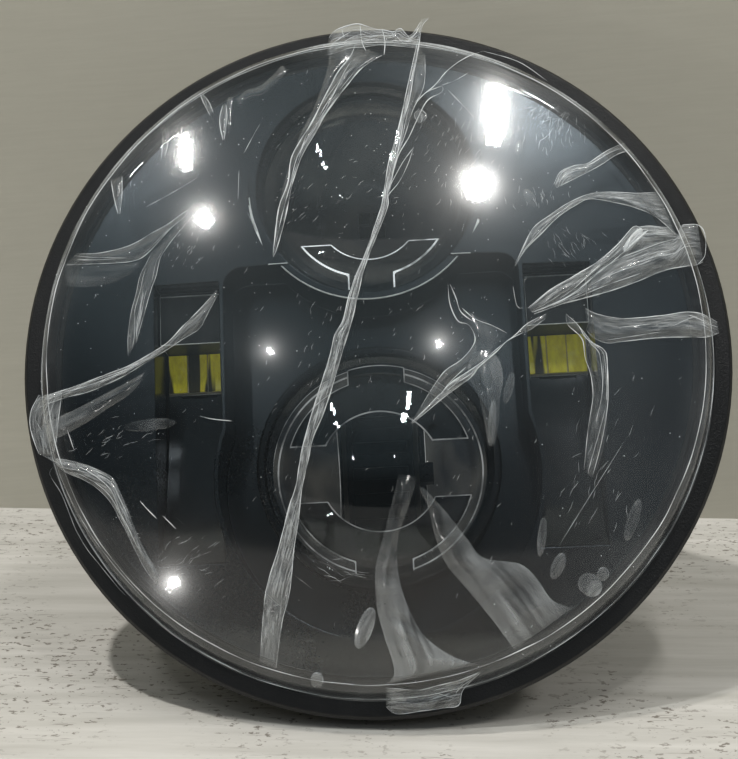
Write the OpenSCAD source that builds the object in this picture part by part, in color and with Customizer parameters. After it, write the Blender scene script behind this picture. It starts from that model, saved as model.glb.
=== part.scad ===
// Round seven inch motorcycle headlight: die-cast finned housing, clear domed lens,
// dark bezel with two stacked round projectors and a tall reflector at each side.
// +Z is up, the lamp shines along -Y, and the flange's rear seat face lies at y = 0.

/* [Flange] */
// Radius of the flange
flange_r = 89; // [86:0.5:93]
// Depth of the flange from its seat face to its front face
flange_t = 7; // [6:0.5:9]
// Chamfer on the flange's two outer edges
edge_c = 0.8; // [0.4:0.1:1.4]
// Width of the flange's seat face, from the spigot to the flange's edge
seat_w = 9.4; // [8.5:0.1:10.5]
// Length of the spigot that fits the lamp bucket
register_len = 8; // [6:0.5:10]
// Width of the three locating lugs behind the flange
lug_w = 11; // [8:1:14]
// Height of the locating lugs
lug_h = 3; // [2:0.5:5]
// Depth of the locating lugs, towards the lamp's axis
lug_d = 5; // [3:0.5:5.5]
// Distance of the locating lugs from the flange's edge
lug_in = 1.4; // [1:0.1:2]

/* [Housing] */
// Wall of the housing at its spigot
bowl_wall = 2.1; // [1.8:0.1:2.6]
// How much narrower the bowl is at its floor than at its mouth
bowl_draft = 15.5; // [12:0.5:17]
// Depth of the bowl's floor behind the seat face
floor_y = 22; // [20:0.5:26]
// Thickness of the bowl's floor
floor_t = 5; // [4:0.5:7]
// Outside radius of the driver tub
tub_r = 41; // [38:0.5:44]
// Wall of the driver tub
tub_wall = 5; // [4:0.5:6]
// Depth of the tub's rim behind the seat face
tub_end_y = 66; // [60:1:70]
// Number of cooling fins
fin_count = 36; // [24:2:44]
// Thickness of a cooling fin
fin_t = 2.4; // [1.8:0.1:3]
// Radius over the fins at their rear end
fin_end_r = 54; // [50:1:58]
// How far the fins reach past the tub's rim
fin_past = 2; // [1:0.5:3]

/* [Lens] */
// How much narrower the lens is at its front ring than at its foot
lens_draft = 1.8; // [1.4:0.1:2.2]
// Distance of the lens ring in front of the flange face
lens_ring_out = 7.2; // [5:0.1:9]
// Chamfer between the lens ring and the dome
ring_c = 1.5; // [1:0.1:2]
// Height of the dome in front of the lens ring
dome_h = 14.3; // [11:0.1:17]
// Wall of the lens
lens_t = 3; // [2.6:0.1:3.4]
// Wall between the lens channel and the flange's edge
rim_wall = 4.5; // [4:0.1:5.5]
// Depth of the lens channel
channel_d = 4.8; // [4:0.1:5.5]
// Clearance of the lens foot in its channel
lens_clear = 0.3; // [0.2:0.05:0.5]
// Thickness of the sealant bead under the lens
bead_t = 0.8; // [0.5:0.1:1.2]
// Thickness of the clear film over the lens
film_t = 0.6; // [0.4:0.1:0.8]
// Gap between the film and the lens
film_gap = 0.3; // [0.1:0.05:0.3]

/* [Bezel] */
// Gap between the bezel and the lens ring
bezel_gap = 0.4; // [0.3:0.05:0.8]
// Wall of the bezel's face
bezel_t = 1.8; // [1.5:0.1:2.4]
// Distance of the bezel's rim in front of the housing's lip
bezel_rim = 3; // [2.5:0.1:3.5]
// How far the bezel's face bulges
bezel_sag = 5.5; // [4:0.5:6.5]
// How far the sunken band is narrower than the well, on each side
band_in = 2.5; // [2:0.1:4]
// Drop of the band's upper end below the upper projector's axis
band_drop = 19.7; // [17:0.1:22]
// Radius of the band's two upper corners
band_corner = 5; // [3:0.5:8]
// Gap between the lower projector's ring and the wall of the well round it
well_gap = 9.5; // [8:0.1:10.5]
// Drop of the well's centre below the lower projector
well_drop = 2.5; // [1:0.5:4]
// Depth of the sunken band's floor, from the seat face
band_floor_y = 5; // [3:0.5:6]
// Thickness of the bezel's inner walls
wall_t = 1.2; // [1:0.1:1.6]

/* [Projectors] */
// Distance from the bezel's edge down to the upper projector's collar
upper_edge = 5.3; // [4:0.1:6.5]
// Gap between the upper collar and the lower projector's ring
projector_gap = 12; // [9:0.1:14]
// Distance from the bezel's edge up to the lower projector's ring
lower_edge = 20.7; // [18:0.1:23]
// Wall of a projector's collar
collar_t = 2; // [1.4:0.1:2.4]
// Distance of a collar's front edge in front of the seat face
collar_front = 12.5; // [11:0.1:13.2]
// Distance of a lens ledge in front of the seat face
ledge_front = 7.7; // [7:0.1:8.5]
// Width of a lens ledge
ledge_w = 1.6; // [1.2:0.1:2]
// Wall of a projector lens
glass_t = 2.4; // [2:0.1:3]
// Height of a projector lens's dome
glass_h = 7.5; // [6:0.5:8]
// Clearance round a projector lens
glass_clear = 0.2; // [0.1:0.05:0.4]
// Gap between a projector's opening and the inside of its reflector's rim
dish_gap = 2.5; // [2:0.1:3.5]
// Wall of a projector reflector
dish_t = 1.6; // [1.2:0.1:2]
// Distance of a reflector's rim in front of the seat face
dish_front = 3; // [2:0.1:4]
// Radius of the hole in the middle of a reflector
dish_hole = 7; // [6:0.5:9]
// Thickness of the shade plates
shade_t = 1.2; // [0.8:0.1:1.6]
// Radius of the disc on the upper projector's board
chip_board_r = 10.5; // [9.5:0.1:11.5]
// Gap between the projector's opening and the upper shade
smile_gap = 6.2; // [5:0.1:7]
// Width of the upper shade, from its outer edge to its curve
smile_w = 8.5; // [7:0.1:10]
// Drop of that curve's centre below the projector's axis
smile_drop = 3.5; // [2:0.1:5]
// Drop of the upper shade's straight edges below the projector's axis
smile_edge = 12.4; // [11:0.1:14]
// Width of the upper shade's foot
smile_foot_w = 12; // [10:0.5:14]
// Gap between the projector's opening and the lower shades
arc_gap = 4.5; // [3.5:0.1:5.5]
// Width of the lower shades
arc_w = 8.5; // [7:0.1:10]
// Height of the slot between the lower shades
slot_h = 14; // [11:0.5:17]
// Width of a lower shade's foot
arc_foot_w = 14.5; // [12:0.5:17]
// Width of the upright carrier behind the lower lens
carrier_w = 16.8; // [14:0.1:19]
// Gap between that carrier's ends and the reflector's foot
carrier_gap = 4; // [3.5:0.1:6]
// Height of a groove across the carrier's nose
groove_h = 3; // [2:0.1:3.5]
// Distance between two of those grooves
groove_pitch = 6.5; // [5:0.1:7]
// Distance of that carrier's nose in front of the seat face
carrier_front = 1; // [0:0.1:2]
// Width of the connector at the carrier's side
connector_w = 3.6; // [3:0.1:4.5]
// Height of that connector
connector_h = 5; // [4:0.1:6]

/* [Side reflectors] */
// Width of a side window
window_w = 16.6; // [14:0.1:18]
// Drop of a side window's upper edge below the upper projector's axis
window_drop = 22.9; // [21:0.1:25]
// Distance of a side window's outer lower corner from the bezel's edge
window_edge = 4.8; // [4:0.1:7]
// Clearance between a side window and what stands in it
window_gap = 0.4; // [0.3:0.05:0.6]
// Number of upright facets in a side reflector
facet_count = 5; // [3:1:7]
// Step of the facets towards the lamp's front
facet_step = 0.45; // [0.2:0.05:0.5]
// Depth of a side reflector's upper edge behind the seat face
trough_back = 9; // [8:0.5:11]
// Rise of a side reflector from its upper edge to its lower one
trough_rise = 17; // [14:0.5:18]
// Wall of a side reflector
trough_t = 2; // [1.6:0.1:2.6]
// Height of the shelf's underside over the side emitters
shelf_z = 6.6; // [5:0.1:8]
// Distance of the shelf's nose in front of the seat face
shelf_front = 5; // [3:0.1:7]
// Height of the lower edge of the side emitters
emitter_z = -3.6; // [-5:0.1:-2]
// Number of side emitters in a row
emitter_count = 3; // [2:1:5]
// Gap between two side emitters
emitter_gap = 0.4; // [0.3:0.05:0.8]
// Thickness of an emitter
emitter_t = 0.6; // [0.4:0.1:0.9]
// Thickness of the circuit boards
board_t = 1.6; // [1:0.1:2]

/* [Rear] */
// How far the rear cover stands out past the tub
cover_lip = 3; // [2:0.5:5]
// Thickness of the rear cover
cover_t = 4; // [3:0.5:6]
// Thickness of the rear cover's seal
cover_seal_t = 0.8; // [0.5:0.1:1.2]
// Radius of a screw's shank
screw_r = 1.45; // [1.2:0.05:1.6]
// Radius of a screw's head
screw_head_r = 2.8; // [2.4:0.1:3.2]
// Height of a screw's head
screw_head_h = 2; // [1.6:0.1:2.4]
// Clearance round a screw
screw_clear = 0.1; // [0.05:0.05:0.3]
// Number of screws in the rear cover
cover_screws_n = 4; // [3:1:6]
// Radius of the cable gland's stem
gland_r = 8; // [7:0.5:9]
// Radius of the cable's hole through the gland's seal
cable_r = 3.6; // [3:0.1:4.5]
// Length of the gland behind the cover
gland_len = 13; // [10:0.5:16]
// Radius of the breather plug's cap
vent_r = 5; // [4:0.5:6]
// Distance of the breather plug below the cable gland
vent_drop = 25; // [22:0.5:28]
// Gap between the driver board and the tub's wall
driver_gap = 4; // [3:0.5:6]
// Height of the driver board's posts
driver_lift = 8; // [6:0.5:10]
// Radius of a post
post_r = 3.5; // [3:0.1:4.5]
// Radius of the hole for the wires
wire_r = 4; // [3:0.5:5]
// Radius of a capacitor on the driver board
capacitor_r = 4.5; // [4:0.1:5]
// Height of a capacitor
capacitor_h = 13; // [10:0.5:16]
// Radius of the coil on the driver board
coil_r = 7; // [6:0.5:7.5]
// Height of the coil
coil_h = 6; // [5:0.5:8]
// Width of a transistor on the driver board
transistor_w = 6; // [5:0.5:7]

/* [Hidden] */

arc_steps = 18;
turn_fn = 180;
small_fn = 48;

register_r = flange_r - seat_w;
bowl_r = register_r - bowl_wall;
bowl_floor_r = bowl_r - bowl_draft;
front_y = -flange_t;
lip_y = front_y + 1.5;
channel_out_r = flange_r - rim_wall;
foot_out_r = channel_out_r - lens_clear;
lens_ring_r = foot_out_r - lens_draft;
channel_in_r = foot_out_r - lens_t - lens_clear;
channel_y = front_y + channel_d;
foot_y = channel_y - bead_t;
bead_gap = 0.1;
ring_y = front_y - lens_ring_out;
dome_edge_r = lens_ring_r - ring_c;
dome_edge_y = ring_y - ring_c * 0.8;
dome_y = ring_y - dome_h;
dome_sphere = sphere_r(dome_edge_r, dome_edge_y - dome_y);

bezel_r = lens_ring_r - lens_t - bezel_gap;
bezel_rim_y = lip_y - bezel_rim;
bezel_y = bezel_rim_y - bezel_sag;
bezel_sphere = sphere_r(bezel_r, bezel_sag);
open_r = (2 * bezel_r - upper_edge - projector_gap - lower_edge) / 4 - collar_t;
upper_z = bezel_r - upper_edge - collar_t - open_r;
lower_z = -(bezel_r - lower_edge - collar_t - open_r);
ledge_t = 1;
ledge_back_y = ledge_t - ledge_front;
ring_seat = 0.5;
collar_c = 0.6;
well_r = open_r + collar_t + well_gap;
well_z = lower_z - well_drop;
band_half = well_r - band_in;
band_top = upper_z - band_drop;
window_in = band_half + wall_t;
window_out = window_in + window_w;
window_top = upper_z - window_drop;
window_bottom = -sqrt(pow(bezel_r - window_edge, 2) - window_out * window_out);

dish_y = -dish_front;
dish_r = open_r - dish_gap;
dish_deep = floor_y - 1.5 - dish_y;
dish_k = dish_r * dish_r / dish_deep;
chip_w = chip_board_r * 0.3;
chip_pitch = chip_w * 1.25;
foot_gap = 0.5;
upper_foot_r = chip_board_r + foot_gap;
low_foot_r = dish_r - 2.5;
ear_t = 2;
upper_ear_x = upper_foot_r + dish_t + screw_head_r * 1.3;
lower_ear_x = low_foot_r + dish_t + screw_head_r * 1.3;
screw_places = [[upper_ear_x, upper_z - 2], [-upper_ear_x, upper_z - 2],
    [lower_ear_x, lower_z], [-lower_ear_x, lower_z]];
smile_out_r = open_r - smile_gap;
smile_r = smile_out_r - smile_w;
arc_out_r = open_r - arc_gap;
arc_in_r = arc_out_r - arc_w;
carrier_half = low_foot_r - carrier_gap;
shade_y = dish_y - shade_t;
glass_r = open_r - glass_clear;
glass_edge_r = open_r - ledge_w;
glass_sphere = sphere_r(glass_edge_r, glass_h);
glass_top_y = 1 - ledge_front - glass_t - glass_h;

trough_top = emitter_z - 0.6;
trough_x0 = window_in + window_gap;
trough_x1 = window_out - window_gap;
trough_w = trough_x1 - trough_x0;
rib_t = trough_t * 0.8;
rib_in = trough_t * 1.5;
rib_foot_in = 12;
strip_gap = 0.2;
emitter_pitch = (trough_w - 2 * strip_gap) / emitter_count;
shelf_top = window_top - window_gap;
board_y = trough_back - 1.6 - board_t;

tub_floor_y = floor_y + floor_t;
seal_in = 0.3;
cover_y = tub_end_y + cover_seal_t;
cover_back_y = cover_y + cover_t;
cover_screw_pcd = tub_r - tub_wall / 2;
cover_dish_r = cover_screw_pcd - screw_head_r - 1.7;
screw_grip = 5 * screw_r;
driver_grip = 3.5 * screw_r;
floor_grip = 2 * screw_r;
thread_gap = 0.05;
fin_end_y = tub_end_y + fin_past;
shoulder_c = 2;
shoulder_r = register_r - shoulder_c;
shoulder_y = register_len + shoulder_c;
cover_r = tub_r + cover_lip;
cover_gap = 0.8;
cover_c = 1.2;
driver_r = tub_r - tub_wall - driver_gap;
driver_y = tub_floor_y + driver_lift;
driver_post_pcd = driver_r - 1.4 * post_r;
wire_z = 2 * wire_r;
vent_step = 2;
vent_seat_y = cover_back_y;
gland_nut_r = gland_r * 1.5;
gland_bore_r = gland_r - 2;
gland_hex_y = cover_back_y + gland_len * 0.3;
locknut_t = gland_r / 2;
low_board_x = carrier_w / 2;
low_board_t = board_t * 0.75;
low_chip_w = carrier_w / 4;
connector_y = 1.5;
connector_d = floor_y / 3 - connector_y - 0.6;
pin_r = connector_h * 0.12;

function sphere_r(r, sag) = (r * r + sag * sag) / (2 * sag);

// Points [radius, y] of a dome whose top lies at y = top_y, from radius r0 to r1
function dome_pts(rs, top_y, r0, r1) = [for (i = [0:arc_steps])
    let (r = r0 + (r1 - r0) * i / arc_steps) [r, top_y + rs - sqrt(rs * rs - r * r)]];

// Depth of a projector reflector's inner face at a radius
function dish_at(r) = dish_y + dish_deep - r * r / dish_k;

function dish_pts(r0, r1, grow) = [for (i = [0:arc_steps])
    let (r = r0 + (r1 - r0) * i / arc_steps) [r + grow, dish_at(r)]];

// Depth of a side reflector's face at a height
function trough_at(z) = trough_back
    - trough_rise * pow((trough_top - z) / (trough_top - window_bottom), 2);

function reversed(pts) = [for (i = [len(pts) - 1:-1:0]) pts[i]];

// Turns a profile of [radius, y] round the lamp's depth, at height z
module turned(z = 0, fn = turn_fn)
    translate([0, 0, z]) rotate([-90, 0, 0]) rotate_extrude($fn = fn) children();

// Extrudes an outline of [x, z] from y0 back by t
module slab(y0, t)
    translate([0, y0 + t, 0]) rotate([90, 0, 0]) linear_extrude(t) children();

module rod(x, z, r, y0, y1, fn = small_fn)
    translate([x, y0, z]) rotate([-90, 0, 0]) cylinder(r = r, h = y1 - y0, $fn = fn);

module both_sides() {
    children();
    mirror([1, 0, 0]) children();
}

// Space inside the bowl, for what stands on its floor
module bowl_space(clear = 0.4) turned() polygon([
    [0, bezel_y], [bowl_r - clear, bezel_y], [bowl_r - clear, 2 - clear],
    [bowl_floor_r - clear, floor_y], [0, floor_y]]);

// Screw with its head's seat at y0, pointing to +Y, or to -Y with dir = -1
module screw(x, z, y0, len, dir = 1) translate([x, y0, z]) rotate([-90 * dir, 0, 0]) {
    difference() {
        translate([0, 0, -screw_head_h]) cylinder(r = screw_head_r, h = screw_head_h, $fn = small_fn);
        translate([0, 0, -screw_head_h - 1])
            cylinder(r = screw_r, h = 1 + screw_head_h * 0.6, $fn = 6);
    }
    cylinder(r = screw_r, h = len, $fn = small_fn);
}

module ring_of(n, r, start = 0)
    for (i = [0:n - 1]) rotate([0, start + i * 360 / n, 0]) translate([r, 0, 0]) children();

module fin_star() for (i = [0:fin_count - 1]) rotate(i * 360 / fin_count)
    translate([tub_r - 1, -fin_t / 2]) square([flange_r, fin_t]);

// Outer curve of the fins, from the spigot's shoulder to their rear end
function fin_pts() = [for (i = [0:10]) let (s = i / 10)
    [fin_end_r + (shoulder_r - fin_end_r) * (1 - pow(s, 1.6)),
     shoulder_y + (fin_end_y - shoulder_y) * s]];

module housing() color("#17181a") difference() {
    union() {
        turned() polygon([
            [channel_out_r, front_y], [flange_r - edge_c, front_y], [flange_r, front_y + edge_c],
            [flange_r, -edge_c], [flange_r - edge_c, 0], [register_r, 0],
            [register_r, register_len], [shoulder_r, shoulder_y],
            [bowl_floor_r + 3.5, tub_floor_y], [0, tub_floor_y], [0, floor_y],
            [bowl_floor_r, floor_y], [bowl_r, 2], [bowl_r, lip_y],
            [channel_in_r, lip_y], [channel_in_r, channel_y], [channel_out_r, channel_y]]);
        turned() polygon([[tub_r - tub_wall, floor_y + 1], [tub_r, floor_y + 1],
            [tub_r, tub_end_y], [tub_r - tub_wall, tub_end_y]]);
        intersection() {
            slab(register_len, fin_end_y) fin_star();
            turned() polygon(concat(fin_pts(), [
                [cover_r + cover_gap, fin_end_y], [cover_r + cover_gap, tub_end_y - 1],
                [tub_r - 1, tub_end_y - 1], [tub_r - 1, floor_y + 2],
                [bowl_floor_r + 1, floor_y + 2]]));
        }
        for (a = [90, 210, 330]) rotate([0, -a, 0])
            translate([flange_r - lug_in - lug_d, -1, -lug_w / 2]) cube([lug_d, lug_h + 1, lug_w]);
        ring_of(3, driver_post_pcd, 30) rod(0, 0, post_r, tub_floor_y - 1, driver_y);
    }
    ring_of(3, driver_post_pcd, 30)
        rod(0, 0, screw_r + thread_gap, driver_y - driver_grip - 0.5, driver_y + 1);
    ring_of(cover_screws_n, cover_screw_pcd, 45)
        rod(0, 0, screw_r + thread_gap, tub_end_y - screw_grip - 1, tub_end_y + 1);
    for (p = screw_places)
        rod(p[0], p[1], screw_r + thread_gap, floor_y - 1, floor_y + floor_grip + 0.3);
    rod(0, wire_z, wire_r, floor_y - 1, tub_floor_y + 1);
}

module rear_cover() color("#1b1c1e") difference() {
    turned() polygon([[0, cover_y], [cover_r, cover_y], [cover_r, cover_back_y - cover_c],
        [cover_r - cover_c, cover_back_y], [cover_dish_r + cover_t / 4, cover_back_y],
        [cover_dish_r, cover_back_y - cover_t / 4],
        [gland_nut_r + cover_t * 1.25, cover_back_y - cover_t / 4],
        [gland_nut_r + cover_t, cover_back_y], [0, cover_back_y]]);
    rod(0, 0, gland_r + 0.1, cover_y - 1, cover_back_y + 1);
    rod(0, -vent_drop, vent_r - vent_step + 0.1, cover_y - 1, cover_back_y + 1);
    ring_of(cover_screws_n, cover_screw_pcd, 45)
        rod(0, 0, screw_r + screw_clear, cover_y - 1, cover_back_y + 1);
}

module rear_cover_seal() color("#0c0c0c") difference() {
    slab(tub_end_y, cover_seal_t) difference() {
        circle(r = tub_r - seal_in, $fn = turn_fn);
        circle(r = tub_r - tub_wall + seal_in, $fn = turn_fn);
    }
    ring_of(cover_screws_n, cover_screw_pcd, 45)
        rod(0, 0, screw_r + screw_clear, tub_end_y - 1, cover_y + 1);
}

module rear_cover_screws() color("#8b8d90")
    ring_of(cover_screws_n, cover_screw_pcd, 45)
        screw(0, 0, cover_back_y, cover_t + cover_seal_t + screw_grip, -1);

module cable_gland() color("#141414") difference() {
    union() {
        rod(0, 0, gland_r, cover_y - locknut_t - 1, cover_back_y + 1);
        rod(0, 0, gland_nut_r, cover_back_y, gland_hex_y, 6);
        turned(0, 72) polygon([[0, gland_hex_y - 1], [gland_r * 1.3, gland_hex_y - 1],
            [gland_r * 1.3, cover_back_y + gland_len * 0.7],
            [gland_r, cover_back_y + gland_len], [0, cover_back_y + gland_len]]);
    }
    rod(0, 0, gland_bore_r, cover_y - locknut_t - 2, cover_back_y + gland_len + 1);
}

module gland_locknut() color("#202020") difference() {
    rod(0, 0, gland_nut_r, cover_y - locknut_t, cover_y, 6);
    rod(0, 0, gland_r + 0.1, cover_y - locknut_t - 1, cover_y + 1);
}

module gland_seal() color("#0e0e0e") difference() {
    rod(0, 0, gland_bore_r - 0.1, cover_back_y + 2, cover_back_y + gland_len + 0.6);
    rod(0, 0, cable_r, cover_back_y + 1, cover_back_y + gland_len + 2);
}

module vent_plug() color("#191919") {
    turned(-vent_drop, small_fn) polygon([[0, cover_y], [vent_r - vent_step, cover_y],
        [vent_r - vent_step, vent_seat_y], [vent_r, vent_seat_y],
        [vent_r, vent_seat_y + 2], [vent_r - 1, vent_seat_y + 3], [0, vent_seat_y + 3]]);
}

module lens_seal() color("#101214") turned() polygon([
    [channel_in_r + bead_gap, foot_y], [channel_out_r - bead_gap, foot_y],
    [channel_out_r - bead_gap, channel_y], [channel_in_r + bead_gap, channel_y]]);

module outer_lens() color("#dfe9ee", 0.35) turned() polygon(concat(
    dome_pts(dome_sphere, dome_y, 0, dome_edge_r),
    [[lens_ring_r, ring_y], [foot_out_r, front_y], [foot_out_r, foot_y],
     [foot_out_r - lens_t, foot_y], [foot_out_r - lens_t, front_y],
     [lens_ring_r - lens_t, ring_y + 1]],
    reversed(dome_pts(dome_sphere - lens_t, dome_y + lens_t, 0, dome_edge_r - lens_t))));

module protective_film() color("#f4f8fa", 0.25) turned() polygon(concat(
    dome_pts(dome_sphere + film_gap + film_t, dome_y - film_gap - film_t, 0, dome_edge_r + 0.3),
    [[lens_ring_r + film_gap + film_t, ring_y - 0.3],
     [foot_out_r + film_gap + film_t, front_y - 1], [foot_out_r + film_gap, front_y - 1],
     [lens_ring_r + film_gap, ring_y]],
    reversed(dome_pts(dome_sphere + film_gap, dome_y - film_gap, 0, dome_edge_r))));

// Outline of the sunken band and of the well round the lower projector
module band_outline(grow = 0) {
    translate([0, well_z]) circle(r = well_r + grow, $fn = turn_fn);
    translate([-band_half - grow, well_z])
        square([2 * (band_half + grow), band_top - band_corner - well_z]);
    for (x = [-1, 1]) translate([x * (band_half - band_corner), band_top - band_corner])
        circle(r = band_corner + grow, $fn = small_fn);
    translate([-band_half + band_corner, well_z])
        square([2 * (band_half - band_corner), band_top + grow - well_z]);
}

// Outline of the right window, kept clear of the band and its wall
module window_outline(grow = 0) difference() {
    translate([window_in - grow, window_bottom - grow])
        square([window_out - window_in + 2 * grow, window_top - window_bottom + 2 * grow]);
    if (grow == 0) translate([0, well_z]) circle(r = well_r + wall_t, $fn = turn_fn);
}

module under_bezel() turned() polygon(concat(
    dome_pts(bezel_sphere, bezel_y, 0, bezel_r), [[bezel_r, floor_y], [0, floor_y]]));

module bezel() color("#24282d") difference() {
    union() {
        turned() polygon(concat(
            dome_pts(bezel_sphere, bezel_y, 0, bezel_r),
            [[bezel_r, lip_y], [bezel_r - bezel_t, lip_y]],
            reversed(dome_pts(bezel_sphere - bezel_t, bezel_y + bezel_t, 0, bezel_r - bezel_t))));
        intersection() {
            under_bezel();
            bowl_space();
            union() {
                slab(bezel_y, band_floor_y - bezel_y) band_outline(wall_t);
                both_sides() slab(bezel_y, band_floor_y - bezel_y) window_outline(wall_t);
            }
        }
        rod(0, upper_z, open_r + collar_t, -collar_front, band_floor_y - 8, turn_fn);
    }
    difference() {
        slab(bezel_y - 1, band_floor_y - wall_t - bezel_y + 1) band_outline();
        rod(0, upper_z, open_r + collar_t, -collar_front, band_floor_y + 1, turn_fn);
    }
    both_sides() slab(bezel_y - 1, band_floor_y - bezel_y + 2) window_outline();
    rod(0, upper_z, open_r, bezel_y - 1, -ledge_front, turn_fn);
    rod(0, upper_z, open_r - ledge_w, -ledge_front - 1, ledge_back_y + 1, turn_fn);
    rod(0, upper_z, open_r, ledge_back_y, band_floor_y + 1, turn_fn);
    rod(0, lower_z, open_r - ring_seat, band_floor_y - wall_t - 1, band_floor_y + 1, turn_fn);
}

// Domed clear lens in front of a projector
module glass(z) turned(z) polygon(concat(
    dome_pts(glass_sphere, glass_top_y, 0, glass_edge_r),
    [[glass_r, -ledge_front - glass_t], [glass_r, -ledge_front],
     [glass_edge_r - glass_t, -ledge_front]],
    reversed(dome_pts(glass_sphere - glass_t, glass_top_y + glass_t, 0,
        glass_edge_r - glass_t))));

module upper_lens() color("#e6eef2", 0.3) glass(upper_z);

module lower_lens() color("#e6eef2", 0.3) glass(lower_z);

module upper_shade() color("#2b2f33") slab(shade_y, shade_t) difference() {
    union() {
        intersection() {
            translate([0, upper_z]) circle(r = smile_out_r, $fn = turn_fn);
            translate([-dish_r, upper_z - dish_r]) square([2 * dish_r, dish_r - smile_edge]);
        }
        intersection() {
            translate([0, upper_z]) circle(r = dish_r + dish_t, $fn = turn_fn);
            translate([-smile_foot_w / 2, upper_z - 2 * dish_r])
                square([smile_foot_w, 2 * dish_r - smile_out_r + 3]);
        }
    }
    translate([0, upper_z - smile_drop]) circle(r = smile_r, $fn = turn_fn);
}

module arc_shade() slab(shade_y, shade_t) difference() {
    union() {
        intersection() {
            translate([0, lower_z]) circle(r = arc_out_r, $fn = turn_fn);
            translate([-dish_r, lower_z + slot_h / 2]) square([2 * dish_r, dish_r]);
        }
        intersection() {
            translate([0, lower_z]) circle(r = dish_r + dish_t, $fn = turn_fn);
            translate([-arc_foot_w / 2, lower_z + arc_in_r]) square([arc_foot_w, dish_r]);
        }
    }
    translate([0, lower_z]) circle(r = arc_in_r, $fn = turn_fn);
}

module lower_top_shade() color("#2b2f33") arc_shade();

module lower_bottom_shade() color("#2b2f33")
    translate([0, 0, 2 * lower_z]) mirror([0, 0, 1]) arc_shade();

// Bowl of a projector reflector with its foot ring on the housing's floor
module dish(z, foot_r) {
    turned(z) polygon(concat(dish_pts(dish_hole, dish_r, 0),
        reversed(dish_pts(dish_hole, dish_r, dish_t))));
    turned(z) polygon([[foot_r, dish_at(foot_r - dish_t)], [foot_r + dish_t, dish_at(foot_r)],
        [foot_r + dish_t, floor_y], [foot_r, floor_y]]);
}

// Ear of a reflector at one of the screw places
module ear(p) slab(floor_y - ear_t, ear_t) difference() {
    translate(p) circle(r = screw_head_r * 1.5, $fn = small_fn);
    translate(p) circle(r = screw_r + screw_clear, $fn = small_fn);
}

module upper_reflector() color("#3a3f45") difference() {
    union() {
        dish(upper_z, upper_foot_r);
        for (i = [0, 1]) ear(screw_places[i]);
    }
    rod(0, upper_z, upper_foot_r, dish_at(upper_foot_r - dish_t) + 3, floor_y + 1, turn_fn);
}

module upper_led_board() color("#1a1b1c")
    rod(0, upper_z, chip_board_r, floor_y - board_t, floor_y, turn_fn);

module upper_led_chips() color("#d8b515")
    for (x = [-1, 1], z = [-1, 1])
        translate([x * chip_pitch / 2 - chip_w / 2, floor_y - board_t - emitter_t,
            upper_z + z * chip_pitch / 2 - chip_w / 2]) cube([chip_w, emitter_t, chip_w]);

module lower_lens_ring() color("#24282d") turned(lower_z) polygon([
    [open_r, -collar_front], [open_r + collar_t - collar_c, -collar_front],
    [open_r + collar_t, -collar_front + collar_c], [open_r + collar_t, band_floor_y - wall_t],
    [open_r, band_floor_y - wall_t], [open_r, ledge_back_y],
    [open_r - ledge_w, ledge_back_y], [open_r - ledge_w, -ledge_front],
    [open_r, -ledge_front]]);

module lower_reflector() color("#3a3f45") difference() {
    union() {
        dish(lower_z, low_foot_r);
        for (i = [2, 3]) ear(screw_places[i]);
    }
    translate([-low_board_x - board_t - 1.2, dish_y - 1, lower_z - carrier_half - 0.6])
        cube([carrier_w + 2 * board_t + 2.4, floor_y - dish_y + 2, 2 * carrier_half + 1.2]);
}

module lower_led_carrier() color("#15171a")
    translate([-carrier_w / 2, -carrier_front, lower_z - carrier_half]) difference() {
        cube([carrier_w, floor_y + carrier_front, 2 * carrier_half]);
        for (i = [-2:2]) translate([groove_h / 2, -1, carrier_half + i * groove_pitch - groove_h / 2])
            cube([carrier_w - groove_h, 2, groove_h]);
    }

module lower_led_boards() color("#cfc7b2") both_sides()
    translate([low_board_x, 1, lower_z - carrier_half + 2])
        cube([low_board_t, floor_y - 1, 2 * carrier_half - 4]);

module lower_led_chips() color("#d8b515") both_sides() for (i = [-1:1])
    translate([low_board_x + low_board_t, floor_y / 3, lower_z + 2 * i * low_chip_w - low_chip_w / 2])
        cube([emitter_t, low_chip_w * 1.2, low_chip_w]);

module lower_led_connector() color("#17191c")
    translate([low_board_x + low_board_t, connector_y, lower_z - connector_h / 2]) difference() {
        cube([connector_w, connector_d, connector_h]);
        for (i = [-1, 1]) translate([connector_w / 2, -1, connector_h / 2 + i * connector_h / 4])
            rotate([-90, 0, 0]) cylinder(r = pin_r, h = connector_d / 2, $fn = small_fn);
    }

// Band of a side reflector's section, [y, z], from its upper to its lower edge
module trough_section() polygon(concat(
    [for (i = [0:arc_steps]) let (z = trough_top + (window_bottom + 0.4 - trough_top) * i / arc_steps)
        [trough_at(z), z]],
    [for (i = [arc_steps:-1:0])
        let (z = trough_top + (window_bottom + 0.4 - trough_top) * i / arc_steps)
        [trough_at(z) + trough_t, z]]));

// Extrudes an outline of [y, z] along x
module along_x(x0, w) translate([x0, 0, 0]) rotate([90, 0, 90]) linear_extrude(w) children();

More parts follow.
